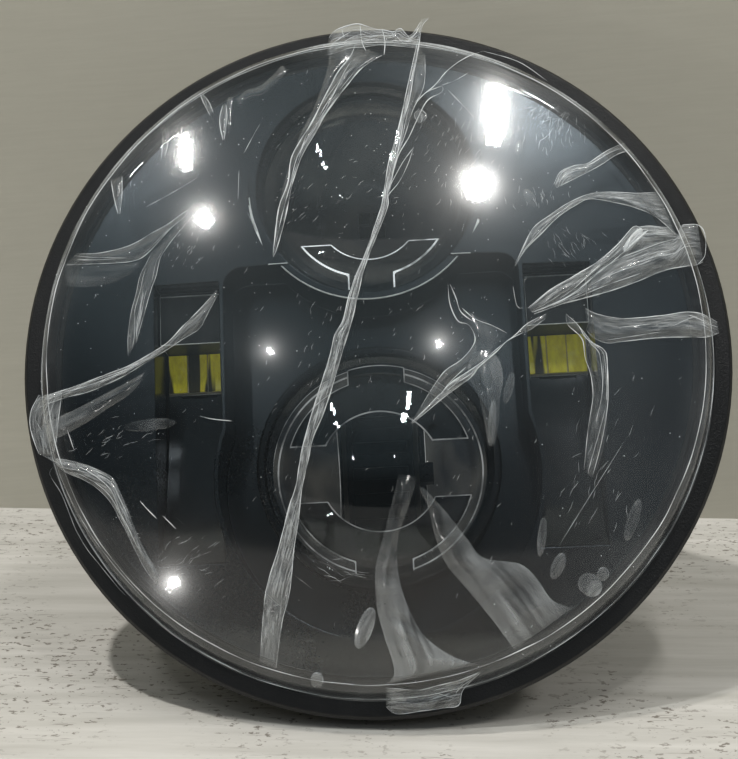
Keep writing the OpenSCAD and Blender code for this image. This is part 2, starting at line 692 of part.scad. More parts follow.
module side_reflector() difference() {
    intersection() {
        bowl_space();
        union() {
            for (i = [0:facet_count - 1]) let (k = i - (facet_count - 1) / 2)
                translate([0, -facet_step * k * k, 0])
                    along_x(trough_x0 + i * trough_w / facet_count, trough_w / facet_count)
                        trough_section();
            for (x = [trough_x0 + rib_in, trough_x1 - rib_in - rib_t])
                along_x(x, rib_t) intersection() {
                    translate([-bezel_sag, window_bottom + 8])
                        square([floor_y + bezel_sag, trough_top - window_bottom - 10]);
                    polygon(concat([for (i = [0:arc_steps])
                        let (z = trough_top - 1 + (window_bottom - trough_top + 2) * i / arc_steps)
                        [trough_at(z) + 0.5, z]],
                        [[floor_y, window_bottom + 1], [floor_y, trough_top - 1]]));
                }
            translate([trough_x0, floor_y - rib_t, window_bottom + rib_foot_in])
                cube([trough_w, rib_t, trough_top - window_bottom - 1.3 * rib_foot_in]);
        }
    }
    rod(0, well_z, well_r + wall_t + strip_gap, bezel_y, band_floor_y + strip_gap, turn_fn);
}

module right_reflector() color("#33383e") side_reflector();

module left_reflector() color("#33383e") mirror([1, 0, 0]) side_reflector();

module led_shelf() along_x(trough_x0, trough_w) polygon([
    [-shelf_front, shelf_z], [-shelf_front, shelf_top - 1], [1 - shelf_front, shelf_top],
    [floor_y, shelf_top], [floor_y, emitter_z - 0.4], [board_y + board_t, emitter_z - 0.4],
    [board_y + board_t, shelf_z]]);

module right_led_shelf() color("#3b3a36") led_shelf();

module left_led_shelf() color("#3b3a36") mirror([1, 0, 0]) led_shelf();

module led_strip() translate([trough_x0 + strip_gap, board_y, emitter_z - strip_gap])
    cube([trough_w - 2 * strip_gap, board_t, shelf_z - emitter_z]);

module right_led_board() color("#e4e0d2") led_strip();

module left_led_board() color("#e4e0d2") mirror([1, 0, 0]) led_strip();

module emitters() for (i = [0:emitter_count - 1])
    translate([trough_x0 + strip_gap + i * emitter_pitch + emitter_gap / 2,
        board_y - emitter_t, emitter_z])
        cube([emitter_pitch - emitter_gap, emitter_t, shelf_z - emitter_z - strip_gap - 0.1]);

module right_led_chips() color("#e0b90e") emitters();

module left_led_chips() color("#e0b90e") mirror([1, 0, 0]) emitters();

module reflector_screws() color("#8b8d90")
    for (p = screw_places) screw(p[0], p[1], floor_y - ear_t, ear_t + floor_grip);

module driver_board() color("#1d5a33") difference() {
    slab(driver_y, board_t) circle(r = driver_r, $fn = turn_fn);
    ring_of(3, driver_post_pcd, 30)
        rod(0, 0, screw_r + screw_clear, driver_y - 1, driver_y + board_t + 1);
    rod(0, wire_z, wire_r, driver_y - 1, driver_y + board_t + 1);
}

module driver_parts() color("#30353a") {
    back = driver_y + board_t;
    for (i = [-1:1]) rod(i * capacitor_r * 2.4, -driver_r * 0.5, capacitor_r, back, back + capacitor_h);
    difference() {
        rod(-coil_r * 2, coil_r, coil_r, back, back + coil_h);
        rod(-coil_r * 2, coil_r, coil_r * 0.45, back - 1, back + coil_h + 1);
    }
    for (i = [-1:1]) translate([transistor_w * 2, back, (i * 1.5 + 0.8) * transistor_w])
        cube([transistor_w * 1.2, transistor_w * 0.4, transistor_w]);
    translate([-transistor_w, back, wire_z + wire_r + 2])
        cube([2 * transistor_w, transistor_w, transistor_w]);
}

module driver_screws() color("#8b8d90")
    ring_of(3, driver_post_pcd, 30) screw(0, 0, driver_y + board_t, board_t + driver_grip, -1);

housing();
rear_cover();
rear_cover_seal();
rear_cover_screws();
cable_gland();
gland_locknut();
gland_seal();
vent_plug();
lens_seal();
outer_lens();
protective_film();
bezel();
upper_lens();
upper_shade();
upper_reflector();
upper_led_board();
upper_led_chips();
lower_lens_ring();
lower_lens();
lower_top_shade();
lower_bottom_shade();
lower_reflector();
lower_led_carrier();
lower_led_boards();
lower_led_chips();
lower_led_connector();
left_reflector();
right_reflector();
left_led_shelf();
right_led_shelf();
left_led_board();
right_led_board();
left_led_chips();
right_led_chips();
reflector_screws();
driver_board();
driver_parts();
driver_screws();
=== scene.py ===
import math
import random

import bmesh
import bpy
import numpy as np
from mathutils import Matrix, Vector, noise


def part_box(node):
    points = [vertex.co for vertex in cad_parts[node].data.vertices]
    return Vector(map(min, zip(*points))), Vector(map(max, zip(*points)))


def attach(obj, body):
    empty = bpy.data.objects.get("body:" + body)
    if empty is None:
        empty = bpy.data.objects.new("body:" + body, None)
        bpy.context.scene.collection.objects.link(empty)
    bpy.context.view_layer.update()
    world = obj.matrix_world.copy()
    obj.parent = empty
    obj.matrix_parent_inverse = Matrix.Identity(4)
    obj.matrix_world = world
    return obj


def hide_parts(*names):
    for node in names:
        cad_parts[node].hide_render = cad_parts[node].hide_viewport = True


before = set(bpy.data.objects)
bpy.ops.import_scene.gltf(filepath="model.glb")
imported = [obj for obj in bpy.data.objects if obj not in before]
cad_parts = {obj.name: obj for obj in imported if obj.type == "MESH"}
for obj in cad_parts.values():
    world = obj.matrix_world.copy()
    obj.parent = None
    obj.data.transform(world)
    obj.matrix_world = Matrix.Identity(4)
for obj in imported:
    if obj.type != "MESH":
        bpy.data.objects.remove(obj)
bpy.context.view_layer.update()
mm = 0.001

# The camera stands where the photograph was taken from. Angles are in degrees.
shot = {
    "width": 738,
    "height": 759,
    "distance": 400 * mm,
    "azimuth": 2.29,
    "elevation": -12.78,
    "roll": -2.6,
    "target": (-1.65 * mm, -7 * mm, -5.53 * mm),
    "pixelFocal": 1599.09,
    "sensor": 36,
    "nearest": 10 * mm,
}

# The lamp leans back on its flange and on the rear edge of its fins
table = {
    "tilt": 3.8,
    "flangeR": 89 * mm,
    "flangeY": -0.4 * mm,
    "finR": 54 * mm,
    "finY": 68 * mm,
    "wallBehind": 152 * mm,
    "size": 4.0,
}

# Outside of the clear lens, in the lamp's own frame
lens = {
    "ringR": 82.4 * mm,
    "ringY": -14.2 * mm,
    "chamfer": 1.5 * mm,
    "chamferShare": 0.8,
    "topY": -28.5 * mm,
    "footR": 84.2 * mm,
    "footY": -7 * mm,
    "seatY": -3 * mm,
    "wall": 3 * mm,
    "segments": 256,
    "arcSteps": 56,
}


# A shader socket that can stand in a sum: 0.2 + mask * 0.1 adds the Math nodes it needs
class Signal:
    def __init__(self, finish, socket):
        self.finish = finish
        self.socket = socket

    def maths(self, operation, *values):
        return self.finish.add("Math", {"operation": operation}, dict(enumerate(values)))

    def __add__(self, other):
        return self.maths("ADD", self, other)

    def __mul__(self, other):
        return self.maths("MULTIPLY", self, other)

    def __pow__(self, other):
        return self.maths("POWER", self, other)

    def most(self, other):
        return self.maths("MAXIMUM", self, other)

    def least(self, other):
        return self.maths("MINIMUM", self, other)

    def band(self, low, high, start=0.0, end=1.0):
        return self.finish.add(
            "MapRange", {"clamp": True},
            {"Value": self, "From Min": low, "From Max": high, "To Min": start, "To Max": end})

    __radd__ = __add__
    __rmul__ = __mul__


# One material, or the world, and the nodes in it
class Finish:
    def __init__(self, name, home=None):
        self.material = home or bpy.data.materials.new(name)
        self.material.use_nodes = True
        self.tree = self.material.node_tree
        self.tree.nodes.clear()

    def feed(self, socket, value):
        if isinstance(value, Signal):
            self.tree.links.new(value.socket, socket)
        elif value is not None:
            if socket.type == "RGBA" and len(value) == 3:
                value = (*value, 1)
            socket.default_value = value

    # kind is the node's type without "ShaderNode"; inputs go by socket name or number
    def add(self, kind, settings=None, inputs=None, out=0):
        node = self.tree.nodes.new("ShaderNode" + kind)
        for key, value in (settings or {}).items():
            if key == "stops":
                self.setStops(node.color_ramp, value)
            else:
                setattr(node, key, value)
        for key, value in (inputs or {}).items():
            self.feed(node.inputs[key], value)
        return Signal(self, node.outputs[out])

    def setStops(self, ramp, stops):
        while len(ramp.elements) < len(stops):
            ramp.elements.new(0.5)
        for element, (place, colour) in zip(ramp.elements, stops):
            element.position = place
            element.color = (*colour, 1)

    def place(self):
        return self.add("TexCoord", out="Object")

    def stretched(self, scale, turn=(0, 0, 0)):
        return self.add("Mapping", {}, {"Vector": self.place(), "Scale": scale, "Rotation": turn})

    def grain(self, scale, detail=2.0, rough=0.5, where=None):
        return self.add("TexNoise", {}, {"Vector": where or self.place(), "Scale": scale,
                                         "Detail": detail, "Roughness": rough})

    def attribute(self, name):
        return self.add("Attribute", {"attribute_name": name}, out="Fac")

    def blend(self, factor, a, b):
        return self.add("Mix", {"data_type": "RGBA"}, {0: factor, 6: a, 7: b}, out=2)

    def bump(self, height, depth, strength=1.0, under=None):
        return self.add("Bump", {}, {"Height": height, "Distance": depth, "Strength": strength,
                                     "Normal": under})

    def plain(self, **inputs):
        named = {key.replace("_", " "): value for key, value in inputs.items()}
        return self.add("BsdfPrincipled", {}, named)

    def clear(self, colour=(1, 1, 1)):
        return self.add("BsdfTransparent", {}, {"Color": colour})

    def mirror(self, rough, normal):
        return self.add("BsdfGlossy", {}, {"Color": (1, 1, 1), "Roughness": rough,
                                           "Normal": normal})

    def mixShader(self, factor, a, b):
        return self.add("MixShader", {}, {0: factor, 1: a, 2: b})

    # How strongly a clear surface mirrors: least seen square on, most at its edge
    def sheen(self, least, most=1.0):
        facing = self.add("LayerWeight", {}, {"Blend": 0.5}, out="Facing")
        return least + (most - least) * facing ** 5

    def end(self, shader, kind="Material"):
        out = self.tree.nodes.new("ShaderNodeOutput" + kind)
        self.feed(out.inputs["Surface"], shader)
        return self.material


def powderCoat():
    f = Finish("powderCoat")
    grains = f.grain(1900, 3, 0.65)
    cloud = f.grain(34, 4, 0.6)
    dust = f.grain(420, 5, 0.7).band(0.66, 0.8) * f.grain(28, 2).band(0.5, 0.62)
    tint = f.blend(cloud.band(0.3, 0.7), (0.0045, 0.0047, 0.0052), (0.010, 0.0102, 0.011))
    tint = f.blend(dust * 0.35, tint, (0.16, 0.15, 0.14))
    rough = 0.24 + cloud * 0.12 + grains * 0.10
    return f.end(f.plain(Base_Color=tint, Roughness=rough, Metallic=0.0, IOR=1.42,
                         Normal=f.bump(grains, 0.00022, 0.55)))


def satinCover():
    f = Finish("satinCover")
    grains = f.grain(2600, 2, 0.6)
    cloud = f.grain(55, 3)
    tint = f.blend(cloud.band(0.35, 0.65), (0.011, 0.0115, 0.0125), (0.02, 0.02, 0.021))
    return f.end(f.plain(Base_Color=tint, Roughness=0.36 + cloud * 0.12, IOR=1.5,
                         Normal=f.bump(grains, 0.00012, 0.5)))


def mouldedBlack(name, colour, rough, grainSize, depth):
    f = Finish(name)
    grains = f.grain(grainSize, 3, 0.6)
    cloud = f.grain(90, 3)
    light = tuple(c * 1.7 for c in colour)
    tint = f.blend(cloud.band(0.35, 0.7), colour, light)
    return f.end(f.plain(Base_Color=tint, Roughness=rough + cloud * 0.12,
                         Normal=f.bump(grains, depth, 0.6)))


def zincSteel():
    f = Finish("zincSteel")
    scuffs = f.grain(900, 4, 0.7, f.stretched((1, 1, 6)))
    return f.end(f.plain(Base_Color=f.blend(scuffs, (0.42, 0.42, 0.41), (0.62, 0.61, 0.58)),
                         Metallic=1.0, Roughness=0.28 + scuffs * 0.2,
                         Normal=f.bump(scuffs, 0.00004, 0.4)))


# Painted highlight along the broken edges: the pale coat on the bevel faces stands in for the
# light they catch. Behind a projector's lens the light would have to pass more clear layers than
# Cycles follows, so there it also gives off painted light of its own, in uneven glints.
def brightEdge(name, colour, rough, metal, glow=0.0):
    f = Finish(name)
    wear = f.grain(180, 3, 0.6)
    tint = f.blend(wear.band(0.3, 0.7), tuple(c * 0.55 for c in colour), colour)
    paintedGlints = f.blend(f.grain(120, 3, 0.6).band(0.40, 0.60), tuple(c * 0.15 for c in colour), colour)
    return f.end(f.plain(Base_Color=tint, Metallic=metal, Roughness=rough + wear * 0.15,
                         Emission_Color=paintedGlints, Emission_Strength=glow))


# Smoked mirror coat of the bezel, the lens ring, the shades and the reflectors. Given a glow,
# it also gives off painted light in warm patches, where light doesn't reach behind the lenses.
def smokedChrome(name, colour, least, spread, wave, glow=0.0):
    f = Finish(name)
    cloud = f.grain(26, 3, 0.5)
    fine = f.grain(1400, 2, 0.5)
    haze = f.grain(9, 2)
    tint = f.blend(cloud.band(0.3, 0.7), colour, tuple(c * 1.35 for c in colour))
    waves = f.bump(f.grain(38, 1, 0.4), wave, 0.35)
    patches = f.blend(f.grain(60, 2, 0.5).band(0.42, 0.66), (0.25, 0.26, 0.27), (1.0, 0.93, 0.80))
    return f.end(f.plain(Base_Color=tint, Metallic=1.0, Emission_Color=patches,
                         Emission_Strength=glow,
                         Roughness=least + haze * spread + fine * 0.02, Normal=waves))


def ledMetal():
    f = Finish("ledMetal")
    streak = f.grain(700, 3, 0.6, f.stretched((1, 1, 0.12)))
    return f.end(f.plain(Base_Color=f.blend(streak, (0.012, 0.013, 0.014), (0.04, 0.041, 0.043)),
                         Metallic=0.7, Roughness=0.34 + streak * 0.2,
                         Normal=f.bump(streak, 0.00005, 0.3)))


def boardMask():
    f = Finish("boardMask")
    spots = f.grain(500, 2)
    return f.end(f.plain(Base_Color=f.blend(spots, (0.42, 0.39, 0.31), (0.55, 0.52, 0.43)),
                         Roughness=0.4 + spots * 0.15, Normal=f.bump(spots, 0.00003, 0.3)))


# Phosphor cells: deep yellow with paler streaks and darker rims. The cells also give off
# a faint painted light, though the lamp is off.
def phosphor(name, deep, bright, pale):
    f = Finish(name)
    streak = f.grain(620, 3, 0.6, f.stretched((1, 1, 0.35), (0, 0.2, 0)))
    patch = f.grain(210, 2)
    body = f.blend(streak.band(0.35, 0.65), deep, bright)
    body = f.blend(patch.band(0.55, 0.75) * 0.6, body, pale)
    seams = f.grain(330, 1, 0.4, f.stretched((1, 1, 0.07), (0, 0.16, 0))).band(0.39, 0.43)
    body = f.blend(seams, tuple(c * 0.06 for c in deep), body)
    glow = f.blend(seams, (0, 0, 0), tuple(c * 0.9 for c in bright))
    return f.end(f.plain(Base_Color=body, Roughness=0.32 + streak * 0.2, Emission_Color=glow,
                         Emission_Strength=0.11 * bright[0], Normal=f.bump(streak, 0.00015, 0.7)))


def greenBoard():
    f = Finish("greenBoard")
    lines = f.grain(260, 2, 0.4, f.stretched((1, 1, 0.3)))
    return f.end(f.plain(Base_Color=f.blend(lines.band(0.48, 0.52), (0.01, 0.09, 0.035),
                                            (0.03, 0.16, 0.07)),
                         Roughness=0.35 + lines * 0.1))


def sealant():
    f = Finish("sealant")
    lump = f.grain(300, 3)
    return f.end(f.plain(Base_Color=f.blend(lump, (0.008, 0.009, 0.011), (0.02, 0.021, 0.024)),
                         Roughness=0.3 + lump * 0.2, Normal=f.bump(lump, 0.0002, 0.5)))


# Clear plastic that lets the eye straight through and mirrors the lamps
def clearPlastic(name, tint, least, most, rough):
    f = Finish(name)
    return f.end(f.mixShader(f.sheen(least, most), f.clear(tint), f.mirror(rough, None)))


# The film where it lies flat on the lens: clear, with a soft gleam and a little haze
def flatFilm():
    f = Finish("flatFilm")
    scuffs = f.grain(700, 4, 0.65, f.stretched((1, 1, 0.3), (0, 0.5, 0)))
    haze = f.attribute("haze") * (0.5 + scuffs)
    milky = f.plain(Base_Color=(0.80, 0.84, 0.86), Roughness=0.5)
    body = f.mixShader(haze.least(0.9), f.clear((0.985, 0.99, 0.99)), milky)
    gleam = f.mirror(0.14, f.bump(f.grain(95, 2, 0.5), 0.00006, 0.25))
    glow = f.mirror(0.3, f.bump(scuffs, 0.00002, 0.3))
    return f.end(f.mixShader(f.sheen(0.06, 0.6), body, f.mixShader(0.27, gleam, glow)))


# The film in its folds: streaks of milk along each fold
def pleatFilm():
    f = Finish("pleatFilm")
    along = f.add("UVMap", {"uv_map": "pleat"})
    streaks = f.grain(1.0, 3, 0.6, f.add("Mapping", {}, {"Vector": along,
                                                         "Scale": (0.62, 0.05, 1)}))
    haze = f.attribute("haze") * (0.18 + streaks.band(0.36, 0.66) * 1.6)
    milky = f.plain(Base_Color=(0.86, 0.90, 0.92), Roughness=0.35,
                    Normal=f.bump(streaks, 0.0003, 0.5))
    body = f.mixShader(haze.least(0.96), f.clear((0.98, 0.985, 0.985)), milky)
    mirror = f.mirror(0.12, f.bump(streaks, 0.0003, 0.4))
    return f.end(f.mixShader(f.sheen(0.045, 0.7), body, mirror))


# White of the crease tubes and ridges: a painted highlight; the dust specks share it
def creaseFilm():
    f = Finish("creaseFilm")
    glints = f.grain(260, 2)
    bright = f.plain(Base_Color=f.blend(glints, (0.80, 0.84, 0.87), (0.95, 0.97, 0.98)),
                     Roughness=0.22)
    return f.end(f.mixShader(0.75, f.clear(), bright))


def wallPaint():
    f = Finish("wallPaint")
    cloud = f.grain(3.2, 3, 0.5)
    weave = f.grain(60, 3, 0.6, f.stretched((1, 1, 14)))
    tint = f.blend(cloud.band(0.35, 0.65), (0.42, 0.405, 0.345), (0.475, 0.46, 0.395))
    tint = f.blend(weave.band(0.3, 0.7) * 0.2, tint, (0.34, 0.32, 0.27))
    paint = f.plain(Base_Color=tint, Roughness=0.75, Normal=f.bump(weave, 0.0002, 0.15))
    return f.end(oneSided(f, paint))


def tablePaint():
    f = Finish("tablePaint")
    boards = f.stretched((1.5, 20, 20))
    smear = f.grain(8, 5, 0.6, boards)
    chipped = f.grain(380, 3, 0.65, f.stretched((1, 1.6, 1.6))).band(0.59, 0.625)
    scratched = f.grain(120, 2, 0.6, f.stretched((0.5, 7, 7), (0, 0, 0.12))).band(0.66, 0.69)
    worn = (chipped.most(scratched * 0.6)) * f.grain(22, 4, 0.6).band(0.42, 0.56)
    tint = f.blend(smear.band(0.3, 0.7), (0.43, 0.415, 0.38), (0.57, 0.55, 0.515))
    tint = f.blend(worn * 0.85, tint, (0.13, 0.11, 0.09))
    paint = f.plain(Base_Color=tint, Roughness=0.5 + smear * 0.2,
                    Normal=f.bump(smear, 0.0008, 0.3))
    return f.end(oneSided(f, paint))


# Only the side that faces the lamp shows, so the views from behind look past it
def oneSided(f, paint):
    hidden = f.add("NewGeometry", out="Backfacing")
    return f.mixShader(hidden, paint, f.clear())


def linked(name, data):
    obj = bpy.data.objects.new(name, data)
    bpy.context.scene.collection.objects.link(obj)
    return obj


def meshObject(name, points, faces, material, smooth=True):
    mesh = bpy.data.meshes.new(name)
    mesh.from_pydata([tuple(p) for p in points], [], faces)
    mesh.validate()
    mesh.materials.append(material)
    if smooth:
        mesh.shade_smooth()
    return linked(name, mesh)


# Smooth but for the edges that turn by more than the sharp angle
def shadedObject(name, bm, material, sharp):
    for face in bm.faces:
        face.smooth = True
    for edge in bm.edges:
        edge.smooth = edge.calc_face_angle(0) < math.radians(sharp)
    mesh = bpy.data.meshes.new(name)
    bm.to_mesh(mesh)
    bm.free()
    mesh.materials.append(material)
    return linked(name, mesh)


def settle(obj, slot, *nodes):
    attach(obj, "root")
    if nodes:
        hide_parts(*nodes)
    return obj


# Closed turned shape round the lamp's depth at height z, from a loop of (radius, y) points
def turnedShell(name, loop, material, z, segments, sharp=40):
    bm = bmesh.new()
    rings = []
    for radius, y in loop:
        if radius < 1e-7:
            rings.append([bm.verts.new((0, y, z))])
            continue
        rings.append([bm.verts.new((radius * math.cos(a), y, z + radius * math.sin(a)))
                      for a in (2 * math.pi * k / segments for k in range(segments))])
    closed = len(rings[0]) > 1
    pairs = list(zip(rings, rings[1:])) + ([(rings[-1], rings[0])] if closed else [])
    for a, b in pairs:
        for k in range(segments):
            n = (k + 1) % segments
            corners = [a[k % len(a)], a[n % len(a)], b[n % len(b)], b[k % len(b)]]
            corners = list(dict.fromkeys(corners))
            if len(corners) > 2:
                bm.faces.new(corners)
    bmesh.ops.recalc_face_normals(bm, faces=bm.faces)
    return shadedObject(name, bm, material, sharp)


def sphereR(edgeR, sag):
    return (edgeR * edgeR + sag * sag) / (2 * sag)


# Radius and depth of the dome's edge on the lens, and the radius of its sphere
def lensDome():
    edge = lens["ringR"] - lens["chamfer"]
    edgeY = lens["ringY"] - lens["chamferShare"] * lens["chamfer"]
    return edge, edgeY, sphereR(edge, edgeY - lens["topY"])


def domeArc(sphere, topY, r0, r1, steps):
    radii = [r0 + (r1 - r0) * k / steps for k in range(steps + 1)]
    return [(r, topY + sphere - math.sqrt(sphere * sphere - r * r)) for r in radii]


# How a CAD node's mesh is made whole: merged corners, lost slivers and joined flat faces
mend = {"merge": 0.004 * mm, "sliver": 0.002 * mm, "flat": 0.3, "sharp": 32, "bevelSteps": 2}


def camelName(node):
    first, *rest = node.split("_")
    return first + "".join(word.title() for word in rest)


# A copy of a CAD node's mesh made whole, with its edges broken and its round faces smooth
def dressCopy(node, slot, material, bevel=0.0, trim=None, angle=mend["sharp"], sphere=None):
    bm = bmesh.new()
    bm.from_mesh(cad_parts[node].data)
    bmesh.ops.remove_doubles(bm, verts=bm.verts, dist=mend["merge"])
    bmesh.ops.dissolve_degenerate(bm, edges=bm.edges, dist=mend["sliver"])
    bmesh.ops.dissolve_limit(bm, angle_limit=math.radians(mend["flat"]), verts=bm.verts,
                             edges=bm.edges)
    obj = shadedObject(camelName(node), bm, material, angle)
    if bevel:
        cut = obj.modifiers.new("brokenEdges", "BEVEL")
        cut.width = bevel
        cut.segments = mend["bevelSteps"]
        if trim:
            obj.data.materials.append(trim)
            cut.material = 1
            cut.use_clamp_overlap = False
        cut.limit_method = "ANGLE"
        cut.angle_limit = math.radians(angle)
        cut.harden_normals = True
        applyModifiers(obj)
    if sphere:
        roundNormals(obj, *sphere)
    return settle(obj, slot, node)


def applyModifiers(obj):
    graph = bpy.context.evaluated_depsgraph_get()
    mesh = bpy.data.meshes.new_from_object(obj.evaluated_get(graph))
    old = obj.data
    obj.modifiers.clear()
    obj.data = mesh
    mesh.name = old.name
    bpy.data.meshes.remove(old)


# Faces that lie close to a sphere are shaded as that sphere, so a mirror coat shows no facets
def roundNormals(obj, centre, facing, limit=7):
    mesh = obj.data
    normals = [Vector(c.vector) for c in mesh.corner_normals]
    centre = Vector(centre)
    for face in mesh.polygons:
        if face.normal.dot(facing) < 0.5:
            continue
        for k in face.loop_indices:
            out = (mesh.vertices[mesh.loops[k].vertex_index].co - centre).normalized()
            if out.angle(face.normal) < math.radians(limit):
                normals[k] = out
    mesh.normals_split_custom_set([tuple(n) for n in normals])


def cameraFrame():
    az = math.radians(shot["azimuth"])
    el = math.radians(shot["elevation"])
    roll = math.radians(shot["roll"])
    out = Vector((math.sin(az) * math.cos(el), -math.cos(az) * math.cos(el), math.sin(el)))
    right = (-out).cross(Vector((0, 0, 1))).normalized()
    up = right.cross(-out)
    turnedRight = right * math.cos(roll) + up * math.sin(roll)
    turnedUp = -right * math.sin(roll) + up * math.cos(roll)
    return Vector(shot["target"]) + out * shot["distance"], turnedRight, turnedUp, out


# Place and turn of an object from its own right, its own up and its own back
def standing(place, right, up, back):
    return Matrix.Translation(place) @ Matrix((right, up, back)).transposed().to_4x4()


def addCamera():
    place, right, up, out = cameraFrame()
    data = bpy.data.cameras.new("photoCamera")
    data.sensor_fit = "AUTO"
    data.sensor_width = shot["sensor"]
    data.lens = shot["sensor"] * shot["pixelFocal"] / shot["height"]
    data.clip_start = shot["nearest"]
    camera = linked("photoCamera", data)
    camera.matrix_world = standing(place, right, up, out)
    bpy.context.scene.camera = camera


# Direction from the camera through a pixel of the photograph
def pixelRay(px, py):
    place, right, up, out = cameraFrame()
    sideways = right * (px - shot["width"] / 2) - up * (py - shot["height"] / 2)
    return place, (sideways - out * shot["pixelFocal"]).normalized()


# The lamps hang where their reflections in the lens fall on the photograph's highlights
def mirrorDirection(px, py):
    place, ray = pixelRay(px, py)
    _, _, sphere = lensDome()
    centre = Vector((0, lens["topY"] + sphere, 0))
    away = place - centre
    b = away.dot(ray)
    hit = place + ray * (-b - math.sqrt(b * b - away.dot(away) + sphere * sphere))
    normal = (hit - centre).normalized()
    return hit, ray - normal * (2 * ray.dot(normal))


def tableFrame():
    tilt = math.radians(table["tilt"])
    down = Vector((-math.sin(tilt), 0, -math.cos(tilt)))
    across = Vector((math.cos(tilt), 0, -math.sin(tilt)))
    front = down * table["flangeR"] + Vector((0, table["flangeY"], 0))
    rear = down * table["finR"] + Vector((0, table["finY"], 0))
    back = (rear - front).normalized()
    up = across.cross(back).normalized()
    return front, across, back, up


def addStage():
    front, across, back, up = tableFrame()
    half = table["size"] / 2
    edge = front + back * table["wallBehind"]
    floorPoints = [edge - across * half, edge - across * half - back * half,
                   edge + across * half - back * half, edge + across * half]
    wallPoints = [edge - across * half, edge + across * half,
                  edge + across * half + up * half, edge - across * half + up * half]
    floor = meshObject("tableTop", floorPoints, [(0, 1, 2, 3)], tablePaint(), False)
    wall = meshObject("wall", wallPoints, [(0, 1, 2, 3)], wallPaint(), False)


# Each row: the highlight's pixel, its width and height in pixels, and its brightness.
# Each fill: its turn from straight in front and its rise in degrees, its size and its watts.
ceilingLamps = {
    "distance": 1.5,
    "rows": [
        ((184, 150), 10, 34, 1.0),
        ((495, 112), 17, 58, 1.0),
        ((203, 217), 15, 15, 1.6),
        ((478, 184), 28, 27, 1.2),
        ((269, 350), 5, 5, 2.8),
        ((439, 343), 5, 6, 2.8),
        ((172, 583), 9, 11, 1.9),
    ],
    "radiance": 60.0,
    "colour": (1.0, 0.985, 0.95),
    "fills": [
        (-58, 71, (0.05, 0.045), 10.6),
        (82, 44, (0.20, 0.16), 4.0),
        (-140, 45, (0.5, 0.4), 2.6),
    ],
    "fillDistance": 1.35,
}

# The room that the lens mirrors: its colours from the table's level (0) up to straight
# overhead (1). The wall behind the lamp has its own paint.
room = {
    "table": (0.27, 0.255, 0.235),
    "dark": (0.018, 0.024, 0.027),
    "wall": (0.149, 0.19, 0.204),
    "ceiling": (0.27, 0.31, 0.32),
    "edges": (0.165, 0.185, 0.42, 0.62, 0.75, 0.93),
    "right": (0.20, 0.22, 0.235),
    "rightShare": 0.8,
}


def addAreaLamp(name, place, side, tall, away, size, power):
    data = bpy.data.lights.new(name, "AREA")
    data.shape = "ELLIPSE" if abs(size[0] - size[1]) < 0.02 else "RECTANGLE"
    data.size, data.size_y = size
    data.energy = power
    data.color = ceilingLamps["colour"]
    lampObject = linked(name, data)
    lampObject.matrix_world = standing(place, side, tall, away)
    lampObject.visible_camera = False
    lampObject.visible_glossy = "Fill" not in name


def addLamps():
    front, across, back, up = tableFrame()
    reach = ceilingLamps["distance"]
    for k, ((px, py), wide, high, share) in enumerate(ceilingLamps["rows"]):
        hit, away = mirrorDirection(px, py)
        perPixelX = mirrorDirection(px + 1, py)[1] - away
        perPixelY = mirrorDirection(px, py - 1)[1] - away
        size = (wide * perPixelX.length * reach, high * perPixelY.length * reach)
        tall = (perPixelY - away * perPixelY.dot(away)).normalized()
        power = ceilingLamps["radiance"] * share * 4 * size[0] * size[1]
        addAreaLamp(f"ceilingLamp{k}", hit + away * reach, tall.cross(away), tall, away, size, power)
    for turn, rise, size, power in ceilingLamps["fills"]:
        turn, rise = math.radians(turn), math.radians(rise)
        level = across * math.sin(turn) - back * math.cos(turn)
        away = level * math.cos(rise) + up * math.sin(rise)
        side = up.cross(away).normalized()
        addAreaLamp("ceilingFill", front + away * ceilingLamps["fillDistance"], side,
                    away.cross(side), away, size, power)


def addWorld():
    _, across, _, up = tableFrame()
    f = Finish("room", bpy.data.worlds.new("room"))
    towards = f.add("TexCoord", out="Generated")
    rise = f.add("VectorMath", {"operation": "DOT_PRODUCT"}, {0: towards, 1: tuple(up)}, out="Value")
    tones = ["table", "dark", "dark", "wall", "wall", "ceiling"]
    stops = [(0.5 + edge / 2, room[tone]) for edge, tone in zip(room["edges"], tones)]
    tint = f.add("ValToRGB", {"stops": stops}, {0: rise * 0.5 + 0.5})
    right = f.add("VectorMath", {"operation": "DOT_PRODUCT"}, {0: towards, 1: tuple(across)},
                  out="Value")
    tint = f.blend(right.band(0.2, 0.8) * room["rightShare"], tint, room["right"])
    bpy.context.scene.world = f.end(f.add("Background", {}, {"Color": tint}), "World")


def buildLens():
    edge, _, sphere = lensDome()
    wall = lens["wall"]
    outside = domeArc(sphere, lens["topY"], 0, edge, lens["arcSteps"])
    outside += [(lens["ringR"], lens["ringY"]), (lens["footR"], lens["footY"]),
                (lens["footR"], lens["seatY"])]
    inside = [(lens["footR"] - wall, lens["seatY"]), (lens["footR"] - wall, lens["footY"]),
              (lens["ringR"] - wall, lens["ringY"] + 1 * mm)]
    inside += domeArc(sphere - wall, lens["topY"] + wall, 0, edge - wall, lens["arcSteps"])[::-1]
    clear = clearPlastic("clearLens", (0.955, 0.97, 0.98), 0.03, 0.75, 0.035)
    body = turnedShell("outerLens", outside + inside, clear, 0.0, lens["segments"])
    return settle(body, "clear_lens", "outer_lens")


